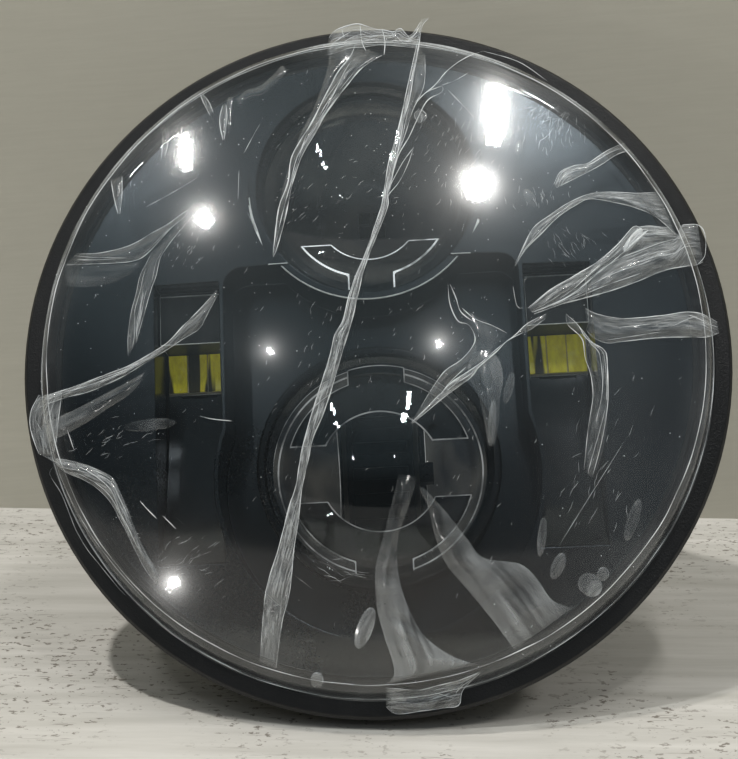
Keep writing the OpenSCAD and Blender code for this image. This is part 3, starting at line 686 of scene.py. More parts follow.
def finishNodes():
    black = powderCoat()
    cover = satinCover()
    steel = zincSteel()
    rubber = mouldedBlack("rubber", (0.012, 0.012, 0.012), 0.55, 1500, 0.0001)
    nylon = mouldedBlack("nylon", (0.014, 0.014, 0.015), 0.38, 2400, 0.00006)
    smoked = smokedChrome("smokedChrome", (0.055, 0.062, 0.068), 0.19, 0.12, 0.0006)
    # The shades and the projectors' reflectors glow faintly: painted light, most in the lower one
    shade = smokedChrome("shadeChrome", (0.07, 0.075, 0.08), 0.14, 0.08, 0.0002, 0.004)
    ring = smokedChrome("ringChrome", (0.022, 0.024, 0.026), 0.2, 0.1, 0.0003)
    optic, upperOptic, mirror = (
        smokedChrome(name, (0.035, 0.037, 0.039), 0.07, 0.06, 0.0003, glow) for name, glow in
        [("opticChrome", 0.05), ("upperOpticChrome", 0.02), ("reflectorChrome", 0.0)])
    collarEdge = brightEdge("collarEdge", (0.93, 0.94, 0.92), 0.3, 0.15)
    shadeEdge = brightEdge("shadeEdge", (0.93, 0.93, 0.90), 0.3, 0.15, 1.3)
    arcEdge = brightEdge("arcEdge", (0.80, 0.78, 0.74), 0.3, 0.3, 0.42)
    metal = ledMetal()
    board = boardMask()
    yellow = phosphor("phosphor", (0.62, 0.50, 0.012), (0.95, 0.86, 0.03), (0.95, 0.92, 0.42))
    # A darkened copy of the phosphor: painted shade on the chips deep inside the projectors
    shaded = phosphor("shadedPhosphor", (0.02, 0.016, 0.004), (0.035, 0.03, 0.006), (0.05, 0.045, 0.02))
    green = greenBoard()
    parts = mouldedBlack("componentBody", (0.03, 0.03, 0.032), 0.4, 900, 0.00008)
    sides = ("left_", "right_")
    reflectors, shelves, boards, chips = (
        [side + piece for side in sides] for piece in ("reflector", "led_shelf", "led_board", "led_chips"))
    # The last column is the trim on the bevel faces: a painted highlight along the broken edges
    rows = [
        (["housing"], "black_casting", black, 0.35, None),
        (["rear_cover"], "cover_black", cover, 0.3, None),
        (["rear_cover_seal"], "black_rubber", rubber, 0.0, None),
        (["rear_cover_screws"], "screw_steel", steel, 0.15, None),
        (["cable_gland"], "black_nylon", nylon, 0.3, None),
        (["gland_seal"], "black_rubber", rubber, 0.2, None),
        (["vent_plug"], "black_nylon", nylon, 0.2, None),
        (["upper_shade"], "shade_chrome", shade, 0.4, shadeEdge),
        (["upper_reflector"], "reflector_chrome", upperOptic, 0.2, None),
        (["upper_led_board"], "led_board_black", upperOptic, 0.1, None),
        (["upper_led_chips"], "yellow_phosphor", shaded, 0.08, None),
        (["lower_lens_ring"], "smoked_chrome", ring, 0.3, None),
        (["lower_top_shade", "lower_bottom_shade"], "shade_chrome", shade, 0.3, arcEdge),
        (["lower_reflector"], "reflector_chrome", optic, 0.25, arcEdge),
        (["lower_led_carrier"], "led_mount_metal", metal, 0.25, None),
        (["lower_led_boards"], "led_board_white", board, 0.1, None),
        (["lower_led_chips"], "yellow_phosphor", shaded, 0.08, None),
        (["lower_led_connector"], "board_parts", parts, 0.08, None),
        (reflectors, "reflector_chrome", mirror, 0.15, None),
        (shelves, "led_mount_metal", metal, 0.2, collarEdge),
        (boards, "led_board_white", board, 0.1, None),
        (chips, "yellow_phosphor", yellow, 0.1, None),
    ]
    for nodes, slot, material, bevel, trim in rows:
        for node in nodes:
            dressCopy(node, slot, material, bevel * mm, trim)
    sphere = sphereR(bezelDome["rim"], bezelDome["sag"])
    bezel = dressCopy("bezel", "smoked_chrome", smoked, bezelDome["bevel"], collarEdge,
                      bezelDome["sharp"], ((0, bezelDome["crown"] + sphere, 0), Vector((0, -1, 0))))
    keepCollarEdge(bezel)
    for node, material in [("lens_seal", sealant()), ("gland_locknut", nylon),
                           ("driver_board", green), ("driver_parts", parts),
                           ("driver_screws", steel), ("reflector_screws", steel)]:
        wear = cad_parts[node]
        wear.data.materials.clear()
        wear.data.materials.append(material)


# The bezel's face is part of a sphere that stands out by its sag at the rim
bezelDome = {"rim": 79 * mm, "crown": -14 * mm, "sag": 5.5 * mm, "bevel": 0.3 * mm, "sharp": 30}

# The upper collar's broken edge keeps the painted highlight from its left side round under it,
# where the light catches it
collar = {"z": 43.7 * mm, "inner": 28.9 * mm, "outer": 30.3 * mm, "front": -11 * mm,
          "start": 185, "end": 338, "aslant": 0.25}


# Gives the bezel's broken edges back their coat, except along the collar's lit lower arc
def keepCollarEdge(bezel):
    for face in bezel.data.polygons:
        x, y, z = face.center
        reach = math.hypot(x, z - collar["z"])
        turn = math.atan2(z - collar["z"], x)
        aslant = face.normal.dot((-math.sin(turn), 0, math.cos(turn)))
        if not (collar["inner"] < reach < collar["outer"] and y < collar["front"]
                and collar["start"] < math.degrees(turn) % 360 < collar["end"]
                and abs(aslant) < collar["aslant"]):
            face.material_index = 0


# Both projectors' lenses, with the sizes of the solids
projector = {
    "outR": 27.8 * mm,
    "edgeR": 26.4 * mm,
    "frontY": -7.7 * mm,
    "wall": 2.4 * mm,
    "bulge": 7.5 * mm,
    "sunk": 1 * mm,
    "arcSteps": 40,
    "segments": 160,
}


def buildProjectorLenses():
    glass = clearPlastic("projectorGlass", (0.95, 0.965, 0.98), 0.045, 0.85, 0.02)
    edgeR, front, wall, steps = (projector[key] for key in ("edgeR", "frontY", "wall", "arcSteps"))
    sphere = sphereR(edgeR, projector["bulge"])
    top = front - wall - projector["bulge"] + projector["sunk"]
    loop = domeArc(sphere, top, 0, edgeR, steps)
    loop += [(projector["outR"], front - wall), (projector["outR"], front), (edgeR - wall, front)]
    loop += domeArc(sphere - wall, top + wall, 0, edgeR - wall, steps)[::-1]
    for node in ("upper_lens", "lower_lens"):
        low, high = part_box(node)
        middle = (low[2] + high[2]) / 2
        shell = turnedShell(camelName(node), loop, glass, middle, projector["segments"])
        settle(shell, "projector_glass", node)


# The creased clear film over the lens. Each cloud has a place, a width, a height and a haze.
film = {
    "gap": 0.3 * mm,
    "edgeR": 84.5 * mm,
    "edgeWave": 0.5 * mm,
    "rings": 120,
    "segments": 360,
    "domeShare": 0.9,  # of the rings
    "frontY": -34 * mm,
    "backY": -5 * mm,
    "depthSteps": 180,
    "flat": (0.19, 0.19),
    "cutArea": 0.0259,
    "clouds": [
        (54 * mm, -36 * mm, 15 * mm, 20 * mm, 0.030),
        (60 * mm, -10 * mm, 9 * mm, 14 * mm, 0.010),
        (50 * mm, 62 * mm, 14 * mm, 9 * mm, 0.015),
    ],
}

# How every fold is shaped and how milky it is. Lengths here are in pixels.
foldForm = {
    "rowStep": 4.0,
    "extraRows": 8,
    "shortest": 12,
    "columns": 16,
    "liftShare": 1.3,  # of the film's gap
    "crumpleLength": 17,
    "crumpleAcross": 1.6,
    "crumpleSeed": 7.3,
    "crumpleShare": 0.5,
    "endSlope": 9,
    "fullWidth": 9,  # a narrower fold stands lower
    "rimWidth": 1.3,
    "rimShare": 0.55,
    "bodyShare": 0.25,
    "fadeSlope": 14,
    "softShare": 0.09,  # of the streaks where a fold has no threads
    "bubbleRise": 0.25,
    "bubblePoints": 9,
    "bubbleSeed": 50,
}

# The fold in the middle of the left pleat, which is one's edge and the next one's too
leftPleatBend = [(355, 44), (351, 55), (336, 75), (323, 100), (312, 122), (300, 141), (291, 159),
                 (288, 182), (279, 207), (275, 236), (273, 255)]

# A fold is drawn by the photograph's pixels, along its left edge and its right edge, and
# laid on the lens from there. rise is its height in millimetres, milk its haze at both ends,
# rim the haze along its edges, a painted highlight, threads the radii of the bright lines along
# both edges, painted highlights too, and ridges how many broken lines run inside it.
folds = {
    "leftPleatHaze": {
        "left": [(331, 40), (327, 70), (315, 105), (298, 140), (285, 180), (276, 220), (272, 255)],
        "right": leftPleatBend,
        "rise": 0.6, "milk": (0.10, 0.02), "rim": 0.07},
    "leftPleat": {
        "left": leftPleatBend,
        "right": [(382, 55), (362, 68), (349, 83), (334, 102), (323, 118), (317, 130), (302, 156),
                  (292, 185), (289, 200), (284, 223), (277, 248), (273, 257)],
        "rise": 1.6, "milk": (0.12, 0.04), "rim": 0.5, "threads": (0.15, 0.16), "ridges": 8},
    "longPleat": {
        "left": [(422, 19), (419, 34), (414, 57), (410, 75), (405, 98), (400, 122), (394, 144),
                 (388, 165), (384, 192), (381, 207), (374, 228), (365, 254), (356, 275),
                 (349, 295), (343, 320), (335, 334), (330, 355), (323, 378), (315, 403),
                 (307, 430), (301, 454), (296, 485), (290, 504), (284, 527), (278, 550),
                 (267, 586), (263, 617), (260, 662)],
        "right": [(429, 18), (422, 27), (419, 47), (414, 72), (410, 97), (404, 119), (399, 146),
                  (393, 171), (388, 192), (388, 205), (381, 225), (370, 252), (363, 273),
                  (358, 295), (352, 320), (348, 334), (342, 353), (336, 374), (330, 394),
                  (322, 417), (313, 438), (307, 465), (302, 488), (300, 504), (298, 523),
                  (294, 548), (291, 581), (288, 600), (282, 623), (276, 668)],
        "rise": 1.3, "milk": (0.22, 0.24), "rim": 0.3, "threads": (0.13, 0.13), "ridges": 6},
    "longPleatShade": {
        "left": [(419, 47), (414, 72), (410, 97), (404, 119), (399, 146), (393, 171), (388, 192)],
        "right": [(425, 55), (424, 85), (413, 110), (405, 135), (396, 160), (392, 178), (389, 196)],
        "rise": 0.7, "milk": (0.06, 0.10), "rim": 0.18, "threads": (0.00, 0.07)},
    "topFlap": {
        "left": [(329, 38), (336, 30), (355, 24), (366, 26), (375, 29), (384, 30), (394, 32),
                 (400, 28), (410, 36), (421, 21)],
        "right": [(327, 55), (338, 52), (350, 48), (365, 47), (380, 45), (397, 46), (415, 48),
                  (420, 50)],
        "rise": 1.6, "milk": (0.14, 0.16), "rim": 0.27, "threads": (0.12, 0.06), "ridges": 18},
    "rightUpperPleat": {
        "left": [(658, 192), (637, 193), (607, 192), (589, 194), (568, 203), (550, 215),
                 (534, 227), (525, 243), (515, 264)],
        "right": [(676, 235), (656, 217), (633, 207), (607, 201), (589, 199), (576, 205),
                  (558, 217), (542, 233), (526, 249), (515, 266)],
        "rise": 1.5, "milk": (0.24, 0.12), "rim": 0.4, "threads": (0.08, 0.10)},
    "rightTubeUpper": {
        "left": [(670, 228), (650, 226), (639, 227), (633, 227), (617, 245), (597, 262),
                 (574, 276), (550, 290), (528, 308)],
        "right": [(682, 238), (676, 239), (660, 243), (644, 249), (621, 258), (601, 270),
                  (578, 290), (558, 302), (532, 312)],
        "rise": 2.4, "milk": (0.28, 0.14), "rim": 0.5, "threads": (0.14, 0.15)},
    "rightTube": {
        "left": [(698, 225), (682, 225), (676, 239), (660, 243), (644, 249), (621, 258),
                 (601, 270), (578, 290), (558, 302), (532, 312)],
        "right": [(703, 262), (696, 265), (688, 266), (666, 270), (641, 280), (613, 290),
                  (585, 298), (562, 304), (534, 314)],
        "rise": 2.2, "milk": (0.24, 0.09), "rim": 0.36, "threads": (0.00, 0.11)},
    "rightLowPleat": {
        "left": [(717, 322), (702, 314), (686, 312), (666, 315), (637, 318), (617, 318),
                 (597, 314), (585, 308)],
        "right": [(719, 333), (707, 337), (686, 337), (656, 338), (627, 341), (607, 343),
                  (594, 338), (587, 331)],
        "rise": 1.8, "milk": (0.20, 0.06), "rim": 0.36, "threads": (0.11, 0.10)},
    "chipPleat": {
        "left": [(546, 314), (528, 323), (515, 335), (499, 347), (483, 361), (469, 371),
                 (452, 382), (440, 394), (411, 423)],
        "right": [(546, 318), (530, 330), (520, 334), (507, 341), (495, 353), (479, 367),
                  (470, 378), (443, 398), (412, 424)],
        "rise": 1.2, "milk": (0.10, 0.20), "rim": 0.33, "threads": (0.10, 0.08)},
    "chipFan": {
        "left": [(462, 308), (469, 325), (475, 341), (462, 359), (445, 371), (431, 390),
                 (412, 421)],
        "right": [(507, 333), (495, 345), (484, 358), (472, 366), (452, 381), (440, 394),
                  (413, 423)],
        "rise": 0.8, "milk": (0.05, 0.10), "rim": 0.12},
    "chipDrop": {
        "left": [(566, 314), (568, 325), (582, 339), (585, 357), (591, 376), (593, 396),
                 (588, 430), (584, 470)],
        "right": [(566, 314), (578, 325), (593, 343), (603, 349), (607, 359), (608, 400),
                  (602, 440), (592, 478)],
        "rise": 1.0, "milk": (0.05, 0.05), "rim": 0.17, "threads": (0.06, 0.06)},
    "frostPatch": {
        "left": [(474, 352), (468, 366), (470, 380), (478, 394), (484, 420), (488, 446)],
        "right": [(490, 350), (500, 362), (503, 380), (500, 398), (499, 420), (495, 446)],
        "rise": 0.7, "milk": (0.10, 0.05), "rim": 0.11},
    "leftUpperPleat": {
        "left": [(76, 254), (99, 253), (122, 248), (137, 242), (150, 234), (168, 224), (183, 213),
                 (188, 210)],
        "right": [(65, 265), (91, 264), (116, 263), (137, 260), (150, 251), (168, 231), (183, 218),
                  (188, 211)],
        "rise": 1.3, "milk": (0.06, 0.05), "rim": 0.27, "threads": (0.08, 0.08)},
    "leftFinger": {
        "left": [(152, 252), (146, 264), (140, 276), (136, 294), (131, 313), (128, 336),
                 (128, 356)],
        "right": [(185, 225), (173, 239), (165, 250), (160, 259), (156, 276), (151, 290),
                  (143, 318), (136, 343)],
        "rise": 1.0, "milk": (0.04, 0.13), "rim": 0.21, "threads": (0.05, 0.06)},
    "leftUpperHaze": {
        "left": [(65, 264), (80, 265), (100, 265), (124, 264), (140, 262)],
        "right": [(66, 286), (84, 287), (102, 285), (120, 280), (138, 268)],
        "rise": 0.4, "milk": (0.09, 0.04), "rim": 0.03},
    "leftPleatLow": {
        "left": [(217, 290), (199, 310), (183, 326), (168, 342), (153, 352), (130, 365),
                 (107, 374), (84, 383), (61, 391), (39, 398), (32, 408)],
        "right": [(217, 296), (206, 317), (199, 329), (183, 339), (168, 349), (145, 363),
                  (122, 377), (91, 391), (68, 397), (45, 405), (34, 412)],
        "rise": 1.3, "milk": (0.12, 0.22), "rim": 0.27, "threads": (0.10, 0.09)},
    "leftPleatUnder": {
        "left": [(145, 372), (122, 385), (99, 397), (76, 409), (53, 420), (38, 430)],
        "right": [(143, 379), (130, 394), (107, 409), (91, 420), (66, 434), (42, 446)],
        "rise": 0.8, "milk": (0.08, 0.18), "rim": 0.07},
    "leftEdgeFlap": {
        "left": [(39, 395), (31, 411), (30, 426), (35, 444), (39, 454)],
        "right": [(62, 392), (60, 408), (58, 424), (56, 442), (52, 458)],
        "rise": 0.9, "milk": (0.14, 0.20), "rim": 0.30, "threads": (0.10, 0.06)},
    "leftLongPleat": {
        "left": [(39, 454), (50, 457), (68, 460), (84, 464), (99, 470), (113, 478), (120, 492),
                 (127, 507), (134, 526), (143, 547), (153, 564), (160, 578)],
        "right": [(53, 461), (65, 472), (84, 480), (99, 490), (111, 503), (119, 518), (127, 533),
                  (136, 552), (145, 569), (156, 584)],
        "rise": 1.2, "milk": (0.24, 0.12), "rim": 0.12, "threads": (0.0, 0.03)},
    "lowerPleat": {
        "left": [(399, 474), (388, 518), (379, 552), (375, 574), (377, 608), (384, 636),
                 (392, 660), (394, 675), (386, 684)],
        "right": [(418, 477), (407, 511), (399, 533), (397, 552), (399, 578), (407, 604),
                  (418, 627), (431, 642), (450, 655), (468, 662), (480, 664)],
        "rise": 1.0, "milk": (0.04, 0.26), "rim": 0.08},
    "lowerRightPleat": {
        "left": [(418, 486), (428, 508), (436, 540), (446, 564), (466, 588), (486, 612),
                 (500, 630), (514, 650)],
        "right": [(424, 488), (446, 512), (468, 540), (484, 558), (520, 564), (538, 580),
                  (552, 600), (572, 608)],
        "rise": 1.0, "milk": (0.08, 0.20), "rim": 0.06},
    "bottomFlap": {
        "left": [(386, 688), (402, 689), (420, 690), (440, 685), (460, 680), (480, 672)],
        "right": [(386, 707), (397, 714), (422, 711), (445, 708), (459, 705), (463, 690),
                  (480, 673)],
        "rise": 1.4, "milk": (0.24, 0.26), "rim": 0.27, "threads": (0.07, 0.10)},
    "snake": {
        "left": [(282, 65), (274, 74), (259, 87), (247, 90), (236, 100)],
        "right": [(288, 70), (277, 82), (263, 94), (249, 97), (240, 106)],
        "rise": 0.5, "milk": (0.10, 0.06), "rim": 0.06},
    "nickTop": {
        "left": [(200, 94), (204, 104), (210, 115)],
        "right": [(202, 93), (209, 102), (213, 112)],
        "rise": 0.5, "milk": (0.06, 0.10), "rim": 0.30, "threads": (0.07, 0.07)},
    "nickMiddle": {
        "left": [(223, 105), (220, 116), (220, 126), (223, 140)],
        "right": [(226, 104), (227, 116), (226, 128), (224, 140)],
        "rise": 0.6, "milk": (0.06, 0.10), "rim": 0.30, "threads": (0.08, 0.07)},
    "nickFinger": {
        "left": [(228, 97), (226, 112), (228, 129)],
        "right": [(233, 97), (231, 112), (230, 129)],
        "rise": 0.3, "milk": (0.08, 0.05), "rim": 0.06},
    "nickLeft": {
        "left": [(161, 127), (163, 140), (161, 159)],
        "right": [(168, 128), (168, 143), (165, 157)],
        "rise": 0.6, "milk": (0.06, 0.08), "rim": 0.24, "threads": (0.06, 0.06)},
    "nickLow": {
        "left": [(111, 180), (114, 198), (118, 214)],
        "right": [(122, 176), (122, 196), (120, 214)],
        "rise": 0.6, "milk": (0.06, 0.07), "rim": 0.27, "threads": (0.08, 0.08)},
    "rightCrumple": {
        "left": [(554, 184), (560, 172), (573, 166), (588, 163), (600, 155), (612, 148),
                 (625, 143)],
        "right": [(556, 188), (566, 183), (580, 176), (590, 171), (604, 163), (616, 155),
                  (630, 150)],
        "rise": 1.0, "milk": (0.30, 0.08), "rim": 0.4, "threads": (0.10, 0.08)},
    "diamond": {
        "left": [(419, 109), (414, 115), (419, 123)],
        "right": [(421, 109), (427, 116), (421, 123)],
        "rise": 0.3, "milk": (0.10, 0.10), "rim": 0.18, "threads": (0.06, 0.06)},
}

# Sealed air bubbles and smears: centre, width, height, lean in degrees and haze
bubbles = {
    "lowerLeft": (365, 628, 16, 44, 20, 0.34),
    "bottomDrop": (317, 680, 13, 16, 0, 0.30),
    "underRight": (558, 566, 13, 28, 22, 0.16),
    "besideRight": (542, 537, 9, 40, 6, 0.16),
    "farRight": (633, 520, 12, 44, 18, 0.10),
    "thinMiddle": (492, 423, 8, 46, 4, 0.16),
    "finger": (509, 388, 9, 32, 14, 0.10),
    "longOutline": (597, 440, 16, 74, 10, 0.07),
    "cluster": (590, 585, 26, 22, 40, 0.20),
    "clusterEdge": (603, 574, 12, 14, 10, 0.18),
    "leftSmear": (150, 425, 52, 12, -6, 0.05),
    "hook": (530, 198, 10, 20, -30, 0.10),
    # tubeGleam is no bubble: a milky patch that paints the highlight beside the tube lamp's reflection
    "tubeGleam": (633, 240, 9, 30, 38, 0.62),
    "lampEdge": (519, 148, 8, 15, 10, 0.22),
}

# Bright creases and glints: tubes raised along the film's creases and scratches, their white a
# painted highlight. A radius in millimetres and the pixels along the line
creases = {
    "leftPleatMiddle": (0.10, [(338, 72), (318, 110), (307, 133), (297, 164), (286, 200),
                               (279, 228), (274, 252)]),
    "topEdge": (0.12, [(483, 51), (465, 58), (448, 70), (435, 85), (424, 94), (414, 103)]),
    "topEdgeOut": (0.10, [(483, 51), (519, 62), (547, 81)]),
    "topHookA": (0.10, [(442, 86), (427, 92), (416, 103)]),
    "topHookB": (0.11, [(442, 86), (442, 92), (427, 101), (416, 122), (409, 137), (399, 154),
                        (394, 170), (392, 180)]),
    "topHookC": (0.07, [(468, 73), (454, 81), (442, 85)]),
    "topScratch": (0.06, [(448, 90), (474, 117)]),
    "veeLeft": (0.09, [(414, 147), (403, 162), (392, 182), (387, 194)]),
    "veeRight": (0.09, [(413, 149), (408, 164), (399, 182), (388, 196), (388, 207)]),
    "flapLineA": (0.12, [(360, 25), (362, 42), (366, 51)]),
    "flapLineB": (0.08, [(342, 29), (344, 38)]),
    "flapLineC": (0.12, [(382, 29), (385, 42), (384, 55)]),
    "flapLineD": (0.10, [(390, 30), (401, 47)]),
    "flapLineE": (0.10, [(401, 28), (413, 42)]),
    "chipSecond": (0.12, folds["chipPleat"]["right"][3:7]),
    "chipRight": (0.11, [(566, 314), (578, 325), (585, 337), (593, 343), (603, 349), (607, 359),
                         (607, 400)]),
    "chipInner": (0.08, folds["chipDrop"]["left"][1:6]),
    "fanA": (0.12, [(448, 284), (450, 304), (458, 321), (469, 325), (475, 341), (462, 359),
                    (445, 371), (431, 390), (421, 407)]),
    "fanB": (0.10, [(466, 367), (450, 382), (441, 394)]),
    "fanC": (0.12, [(462, 308), (475, 319), (491, 325), (507, 333)]),
    "fanD": (0.09, [(450, 284), (456, 298), (461, 312), (474, 322)]),
    "fanE": (0.10, [(513, 286), (517, 306), (523, 308)]),
    "rightGleam": (0.24, [(648, 230), (637, 240), (627, 249)]),
    "rightGleamLow": (0.16, [(627, 249), (612, 262), (596, 275), (578, 290)]),
    "tubeEnd": (0.12, [(682, 225), (698, 225), (705, 235), (705, 255), (698, 264)]),
    "spike": (0.07, [(143, 291), (140, 310), (137, 328), (136, 340)]),
    "wavyOuter": (0.05, [(53, 467), (50, 475), (61, 493), (70, 515), (76, 530), (87, 549),
                         (99, 564), (116, 585), (125, 595)]),
    "wavyInner": (0.04, [(56, 466), (65, 487), (74, 506), (88, 530), (102, 550), (122, 575),
                         (143, 598)]),
    "scratchA": (0.05, [(260, 124), (252, 138), (244, 153)]),
    "scratchB": (0.05, [(239, 170), (238, 199)]),
    "scratchC": (0.06, [(197, 178), (170, 194), (146, 207)]),
    "scratchD": (0.06, [(67, 429), (74, 450)]),
    "rightFaint": (0.04, [(624, 442), (600, 480), (580, 512), (560, 544)]),
    "glintLeft": (0.12, [(140, 501), (148, 510), (157, 519)]),
    "glintLow": (0.12, [(163, 516), (169, 522), (176, 529)]),
    "glintMiddle": (0.10, [(200, 416), (212, 419), (232, 421)]),
}

# Fine scratches, white lines that paint the glints they catch, most round the lamps' reflections:
# centre, spread, how many, lean in degrees and length, all in pixels
scuffs = {
    "upperRightRuns": ((562, 128), (26, 20), 46, 84, (5, 14)),
    "upperRightCross": ((555, 112), (24, 12), 26, 20, (4, 10)),
    "byTallLamp": ((455, 150), (38, 40), 50, 60, (3, 10)),
    "byLoop": ((540, 196), (20, 10), 20, 100, (4, 9)),
    "innerRight": ((572, 245), (22, 18), 34, 125, (5, 12)),
    "upperOptic": ((330, 185), (45, 50), 30, 35, (3, 9)),
    "leftLamp": ((185, 250), (18, 16), 30, 60, (2, 6)),
    "leftMiddle": ((115, 440), (40, 18), 22, 30, (4, 12)),
    "lowerLamp": ((185, 560), (30, 30), 30, 35, (4, 12)),
    "lowerRing": ((340, 575), (26, 10), 12, 160, (8, 22)),
    "middle": ((330, 330), (80, 50), 24, 70, (3, 8)),
    "rightSide": ((600, 470), (40, 60), 30, 65, (5, 14)),
    "all": ((370, 370), (200, 200), 130, 60, (2, 7)),
}

# Finer lines: ridges in the folds, scratches, and the painted highlight lines round the lens's
# edge, each with its own radius and the thread's in millimetres. Lengths are in pixels, other
# radii in mm.
fineLines = {
    "seed": 11,
    "step": 3,  # pixels between two points
    "rise": 0.35 * mm,
    "unevenLength": 14,
    "ridgeSpacing": 5.5,
    "ridgeLength": 90,
    "ridgeRadius": (0.025, 0.075),
    "scuffRadius": (0.010, 0.030),
    "scuffReach": 322,
    "middle": (380, 375),
    "edgeHighlightRings": ((81.0, 0.10), (84.1, 0.11)),
    "edgePoints": 400,
}


# Depth of the outside that the film lies on, at a radius
def bedY(radius):
    edge, edgeY, sphere = lensDome()
    inside = np.minimum(radius, edge)
    dome = lens["topY"] + sphere - np.sqrt(sphere ** 2 - inside ** 2)
    beyond = np.interp(radius, (edge, lens["ringR"], lens["footR"], table["flangeR"]),
                       (edgeY, lens["ringY"], lens["footY"], lens["footY"] - 0.2 * mm))
    return np.where(radius <= edge, dome, beyond)


# Where the camera sees these pixels on the film's bed, lifted off it
def onFilm(px, py, lift):
    place, right, up, out = (np.array(v) for v in cameraFrame())
    sideways = np.multiply.outer(px - shot["width"] / 2, right)
    rays = sideways - np.multiply.outer(py - shot["height"] / 2, up) - out * shot["pixelFocal"]
    rays = rays / rays[:, 1:2]
    depths = np.linspace(film["frontY"], film["backY"], film["depthSteps"])
    spots = place + rays[:, None, :] * (depths - place[1])[None, :, None]
    under = depths - bedY(np.hypot(spots[:, :, 0], spots[:, :, 2])) + np.asarray(lift)[:, None]
    k = np.maximum(np.argmax(under > 0, axis=1), 1)
    row = np.arange(len(k))
    before, after = under[row, k - 1], under[row, k]
    share = np.clip(before / (before - after), 0, 1)
    depth = depths[k - 1] + (depths[k] - depths[k - 1]) * share
    return place + rays * (depth - place[1])[:, None]


# A smooth line through the pixels, at even steps
def smoothLine(pixels, count):
    points = np.array([pixels[0], *pixels, pixels[-1]], float)
    fine = []
    for a, b, c, d in zip(points, points[1:], points[2:], points[3:]):
        t = np.linspace(0, 1, 12, endpoint=False)[:, None]
        fine.append(0.5 * (2 * b + (c - a) * t + (2 * a - 5 * b + 4 * c - d) * t ** 2
                           + (3 * b - a - 3 * c + d) * t ** 3))
    fine = np.vstack([*fine, points[-1:]])
    run = np.concatenate([[0], np.cumsum(np.hypot(*np.diff(fine, axis=0).T))])
    even = np.linspace(0, run[-1], count)
    return np.column_stack([np.interp(even, run, fine[:, 0]), np.interp(even, run, fine[:, 1])])


# Length of a line of pixels
def pixelLength(pixels):
    return np.hypot(*np.diff(np.array(pixels, float), axis=0).T).sum()


# One fold: a tent over the strip between its two edges, hazy, with a painted highlight as haze
# along both rims
def foldStrip(fold, seed):
    form = foldForm
    length = max(pixelLength(fold["left"]), form["shortest"])
    rows = int(length / form["rowStep"]) + form["extraRows"]
    left, right = smoothLine(fold["left"], rows), smoothLine(fold["right"], rows)
    along = np.linspace(0, 1, rows)[:, None]
    across = (1 - np.cos(np.pi * np.linspace(0, 1, form["columns"])))[None, :] / 2
    px = left[:, :1] * (1 - across) + right[:, :1] * across
    py = left[:, 1:] * (1 - across) + right[:, 1:] * across
    width = np.hypot(*(right - left).T)[:, None]
    fromEnd = np.minimum(along, 1 - along)
    ends = np.clip(fromEnd * form["endSlope"], 0, 1)
    crumple = np.array([[noise.noise(Vector((a * length / form["crumpleLength"],
                                             c * form["crumpleAcross"],
                                             seed * form["crumpleSeed"])))
                         for c in across[0]] for a in along[:, 0]])
    crumpled = 1 + form["crumpleShare"] * crumple
    tent = np.sin(np.pi * across) * ends * np.minimum(1, width / form["fullWidth"])
    lift = film["gap"] * form["liftShare"] + fold["rise"] * mm * tent * crumpled
    points = onFilm(px.ravel(), py.ravel(), lift.ravel())
    rimWidth = form["rimWidth"] / np.maximum(width, 2)
    # Painted highlight as haze along both rims of the fold
    rims = np.exp(-(across / rimWidth) ** 2) + np.exp(-((1 - across) / rimWidth) ** 2)
    start, end = fold["milk"]
    middle = 1 - form["bodyShare"] + form["bodyShare"] * np.sin(np.pi * across)
    body = (start + (end - start) * along) * middle
    fade = np.clip(fromEnd * form["fadeSlope"] + 0.25, 0, 1)
    haze = (body * crumpled + form["rimShare"] * fold["rim"] * rims * (0.7 + 0.9 * crumple)) * fade
    crisp = 1.0 if "threads" in fold else form["softShare"]
    uv = np.dstack([across * width, along * length + 0 * across]) * crisp
    grid = points.reshape(rows, -1, 3)
    facing = np.cross(grid[1:, :-1] - grid[:-1, :-1], grid[:-1, 1:] - grid[:-1, :-1])
    turned = facing[..., 1].sum() > 0
    return points, np.clip(haze, 0.01, 0.96).ravel(), uv.reshape(-1, 2), rows, turned


def bubbleStrip(cx, cy, wide, high, lean, haze):
    turn = np.linspace(0, np.pi, foldForm["bubblePoints"])
    c, s = math.cos(math.radians(lean)), math.sin(math.radians(lean))
    edges = []
    for side in (-1, 1):
        x, y = side * wide / 2 * np.sin(turn), -high / 2 * np.cos(turn)
        edges.append(list(zip(cx + x * c - y * s, cy + x * s + y * c)))
    return {"left": edges[0], "right": edges[1], "rise": foldForm["bubbleRise"],
            "milk": (haze, haze * 1.1), "rim": haze * 0.7}


# One value for each point of a mesh, which its material reads by name
def addValues(obj, name, values):
    obj.data.attributes.new(name, "FLOAT", "POINT").data.foreach_set("value", values)


